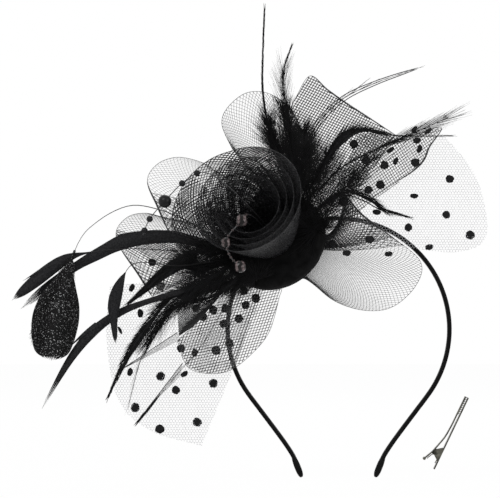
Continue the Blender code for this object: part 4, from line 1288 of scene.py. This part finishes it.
def blade(points, rng, strips, start, end, half, fray, gauge=None):
    """A flat blade of narrow strips along a quill, frayed at its end; a gauge keeps the strips apart."""
    lines = []
    for k in range(strips):
        across = 2 * k / (strips - 1) - 1
        stop = 1.0 - fray * rng.random() - 0.5 * fray * abs(across)
        run, radii = [], []
        for t in shares(BLADE_MARKS):
            share_along = stop * t
            spot, _, side = at_quill(points, blend(start, end, share_along))
            width = max(0.1, along_row(half, share_along)) * MM
            run.append(spot + side * across * width - TOWARD_VIEWER * 0.25 * width * across**2)
            strip = gauge * MM if gauge else max(1.6 * width / strips, 0.1 * MM)
            thinning = max(0.0, t - BLADE_BODY) / (1.0 - BLADE_BODY)
            radii.append(strip * (1.0 - BARB_THIN * thinning))
        lines.append((run, radii))
    return lines


def spur(points, start, end, side, away, wide):
    """A sliver that has split off the edge of a blade and stands away from it at its tip."""
    lines = []
    for row in (-1, 0, 1):
        run, radii = [], []
        for share_along in shares(SPUR_MARKS):
            spot, _, out = at_quill(points, blend(start, end, share_along))
            offset = blend(1.6, away, share_along) + row * wide * 0.5 * (1 - share_along)
            run.append(spot + out * side * offset * MM)
            radii.append(wide * 0.4 * MM * (1.05 - share_along))
        lines.append((run, radii))
    return lines


for number, (key, feather) in enumerate(FEATHERS.items()):
    rng = random.Random(FIRST_SEED + number)
    points = quill_line(feather["root"], feather["route"])
    hairs = [quill(points, QUILL * feather.get("quill", 1.0))]
    for dressing in feather.get("barbs", ()):
        hairs += barbs(points, rng, *dressing)
    piece("feather_" + key, strands(hairs, feather_black), "feather", key)
    flats = []
    if "blade" in feather:
        flats += blade(points, rng, *feather["blade"])
    if "spur" in feather:
        flats += spur(points, *feather["spur"])
    if "vane" in feather:
        flats += barbs(points, rng, *feather["vane"])
    if flats:
        flat_black = leaf_black_and_glints if "vane" in feather else vane_black_and_glints
        piece("vane_" + key, strands(flats, flat_black, *VANE_SECTION), "feather")

# Beads: black pearls on one fine wire and cut crystals on another, both rising out of the heart of the rose.
# The crystals are dark, faintly red and highly polished; small seed beads keep them from sliding.
# Each bead has its share of the wire's length and its radius in millimetres.
WIRE_RADIUS = 0.28 * MM
WIRE_MARKS = 90
WIRE_SIDES = 8
CUT_STEPS = (7, 10)  # rings and steps of a bead
ROUND_STEPS = (17, 28)
BORE = 0.5 * MM
PEARL_WIRE = [(2, 2, 0), (0, 6, 28), (-4, 18, 50), (-11, 28, 58)]
PEARL_WIRE += [(-24, 31, 56), (-38, 30, 53), (-51, 29, 49), (-60, 26, 44)]
PEARLS = [("a", 0.46, 1.9), ("b", 0.57, 1.9), ("c", 0.715, 3.9), ("d", 0.86, 1.9), ("e", 0.95, 1.9)]
CRYSTAL_WIRE = [(-1, -2, 0), (-1, -3, 28), (-4, -9, 50), (-9, -15, 57)]
CRYSTAL_WIRE += [(-22, -21, 60), (-26, -30.5, 58), (-24.5, -38.5, 52)]
CRYSTALS = [("a", 0.96, 3.6), ("b", 0.70, 3.0), ("c", 0.49, 3.6)]
SEED_RADIUS = 0.8 * MM
SEEDS = (0.35, 0.385, 0.42, 0.548, 0.59, 0.635, 0.765, 0.81, 0.848, 0.885)  # shares of the crystals' wire

coated_wire = finish("dark_wire", 0.3, {"Metallic": 0.6})
mottle(coated_wire, noise(coated_wire, 900.0), (0.04, 0.04, 0.042), (0.09, 0.09, 0.092), 0.4)
pearl = finish("black_pearl", 0.16)
mottle(pearl, noise(pearl, 260.0), (0.004, 0.004, 0.005), (0.010, 0.010, 0.011), (0.24, 0.36))
crystal = finish("dark_crystal", 0.2)
# Painted reflections: each facet is coloured dark or pale pink by which way it faces across the view,
# standing in for the bright reflexes of polished cut crystal. The seed beads share this.
facet = node(crystal.node_tree, "ShaderNodeNewGeometry")
aslant = node(crystal.node_tree, "ShaderNodeSeparateXYZ", {0: facet["True Normal"]})
painted_reflection_mask = node(crystal.node_tree, "ShaderNodeMath", {0: aslant[0], 1: 0.55}, operation="PINGPONG")
mottle(crystal, painted_reflection_mask[0], (0.003, 0.002, 0.002), (0.24, 0.18, 0.18), 0.05)


def bead_mesh(route, t, radius, rings, steps, cut):
    """A bored bead on a wire; a cut one has every second ring turned by half a step, for its facets."""
    centre, along = smooth(route, t), heading(route, t)
    across = along.orthogonal().normalized()
    other = along.cross(across)
    tip = math.asin(BORE / radius)
    loops = []
    for i, share_along in enumerate(shares(rings - 1)):
        angle = blend(tip - math.pi / 2, math.pi / 2 - tip, share_along)
        loop = []
        for k in range(steps):
            turn = 2 * math.pi * (k + 0.5 * (cut and i % 2)) / steps
            ray = across * math.cos(turn) + other * math.sin(turn)
            loop.append(centre + ray * radius * math.cos(angle) + along * radius * math.sin(angle))
        loops.append(loop)
    return skin(loops, closed=True, cut=cut)


for kind, spots, beads, stuff, cut in (
    ("pearl", PEARL_WIRE, PEARLS, pearl, False),
    ("crystal", CRYSTAL_WIRE, CRYSTALS, crystal, True),
):
    route = [on_base(u * MM, v * MM, BASE_TOP + ROSE_SEAT + h * MM) for u, v, h in spots]
    stem = even([smooth(route, t) for t in shares(WIRE_MARKS)], WIRE_RADIUS)
    piece(kind + "_stem", strands([stem], coated_wire, WIRE_SIDES), "wire", kind + "_wire")
    for label, t, radius in beads:
        mesh = bead_mesh(route, t, radius * MM, *(CUT_STEPS if cut else ROUND_STEPS), cut)
        piece(kind + "_bead_" + label, mesh, kind, kind + "_" + label, material=stuff)
    for number, t in enumerate(SEEDS if cut else ()):
        seed = bead_mesh(route, t, SEED_RADIUS, *CUT_STEPS, False)
        piece(f"seed_bead_{number}", seed, "crystal", material=crystal)

# Hair clip: a single-prong clip of thin nickel-plated steel, loose beside the headpiece.
# A flat jaw carries two ears; a bowed, toothed lever turns on a pin between them, sprung by a bent leaf.
CLIP_PIN_AT = Vector((57.3, 0.0, -136.4)) * MM
CLIP_LEAN_DEG = 64.4  # of the jaws above the horizontal
CLIP_EDGE = 0.12 * MM
LEAF_EDGE = 0.05 * MM
LEAF_BEND = (-0.8 * MM, 0.7 * MM)  # from the pin toward the lever, where the spring's bend begins and ends

# Painted dark reflections: the plate's colour wanders between near black and a dim nickel, standing in for
# dark surroundings mirrored in polished metal.
nickel = finish("nickel_plate", 0.5, {"Metallic": 1.0})
mottle(nickel, noise(nickel, 330.0, 3.0), (0.006, 0.006, 0.005), (0.15, 0.147, 0.122), (0.16, 0.34))
relief(nickel, noise(nickel, 2200.0), 0.01 * MM, 0.3)

piece("clip_jaw", softened("clip_lower_jaw", CLIP_EDGE, 2), "nickel", "clip_lower_jaw", material=nickel)
lever = softened("clip_upper_lever", CLIP_EDGE, 2)
piece("clip_lever_plate", lever, "nickel", "clip_upper_lever", material=nickel, body="clip_lever")
clad("clip_hinge_pin", nickel)

# The spring: a softened copy of the CAD leaf, shown in its place and attached to no body. Where its bend
# would begin and end is worked out, but the leaf is left unbent.
leaf = show("clip_leaf", softened("clip_spring", LEAF_EDGE, 1))
leaf.data.materials.append(nickel)
toward_lever = front_ray(CLIP_LEAN_DEG + 90.0)
bend_from, bend_to = (CLIP_PIN_AT + toward_lever * height for height in LEAF_BEND)
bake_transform(leaf)
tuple(bend_from)
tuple(bend_to)
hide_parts("clip_spring")
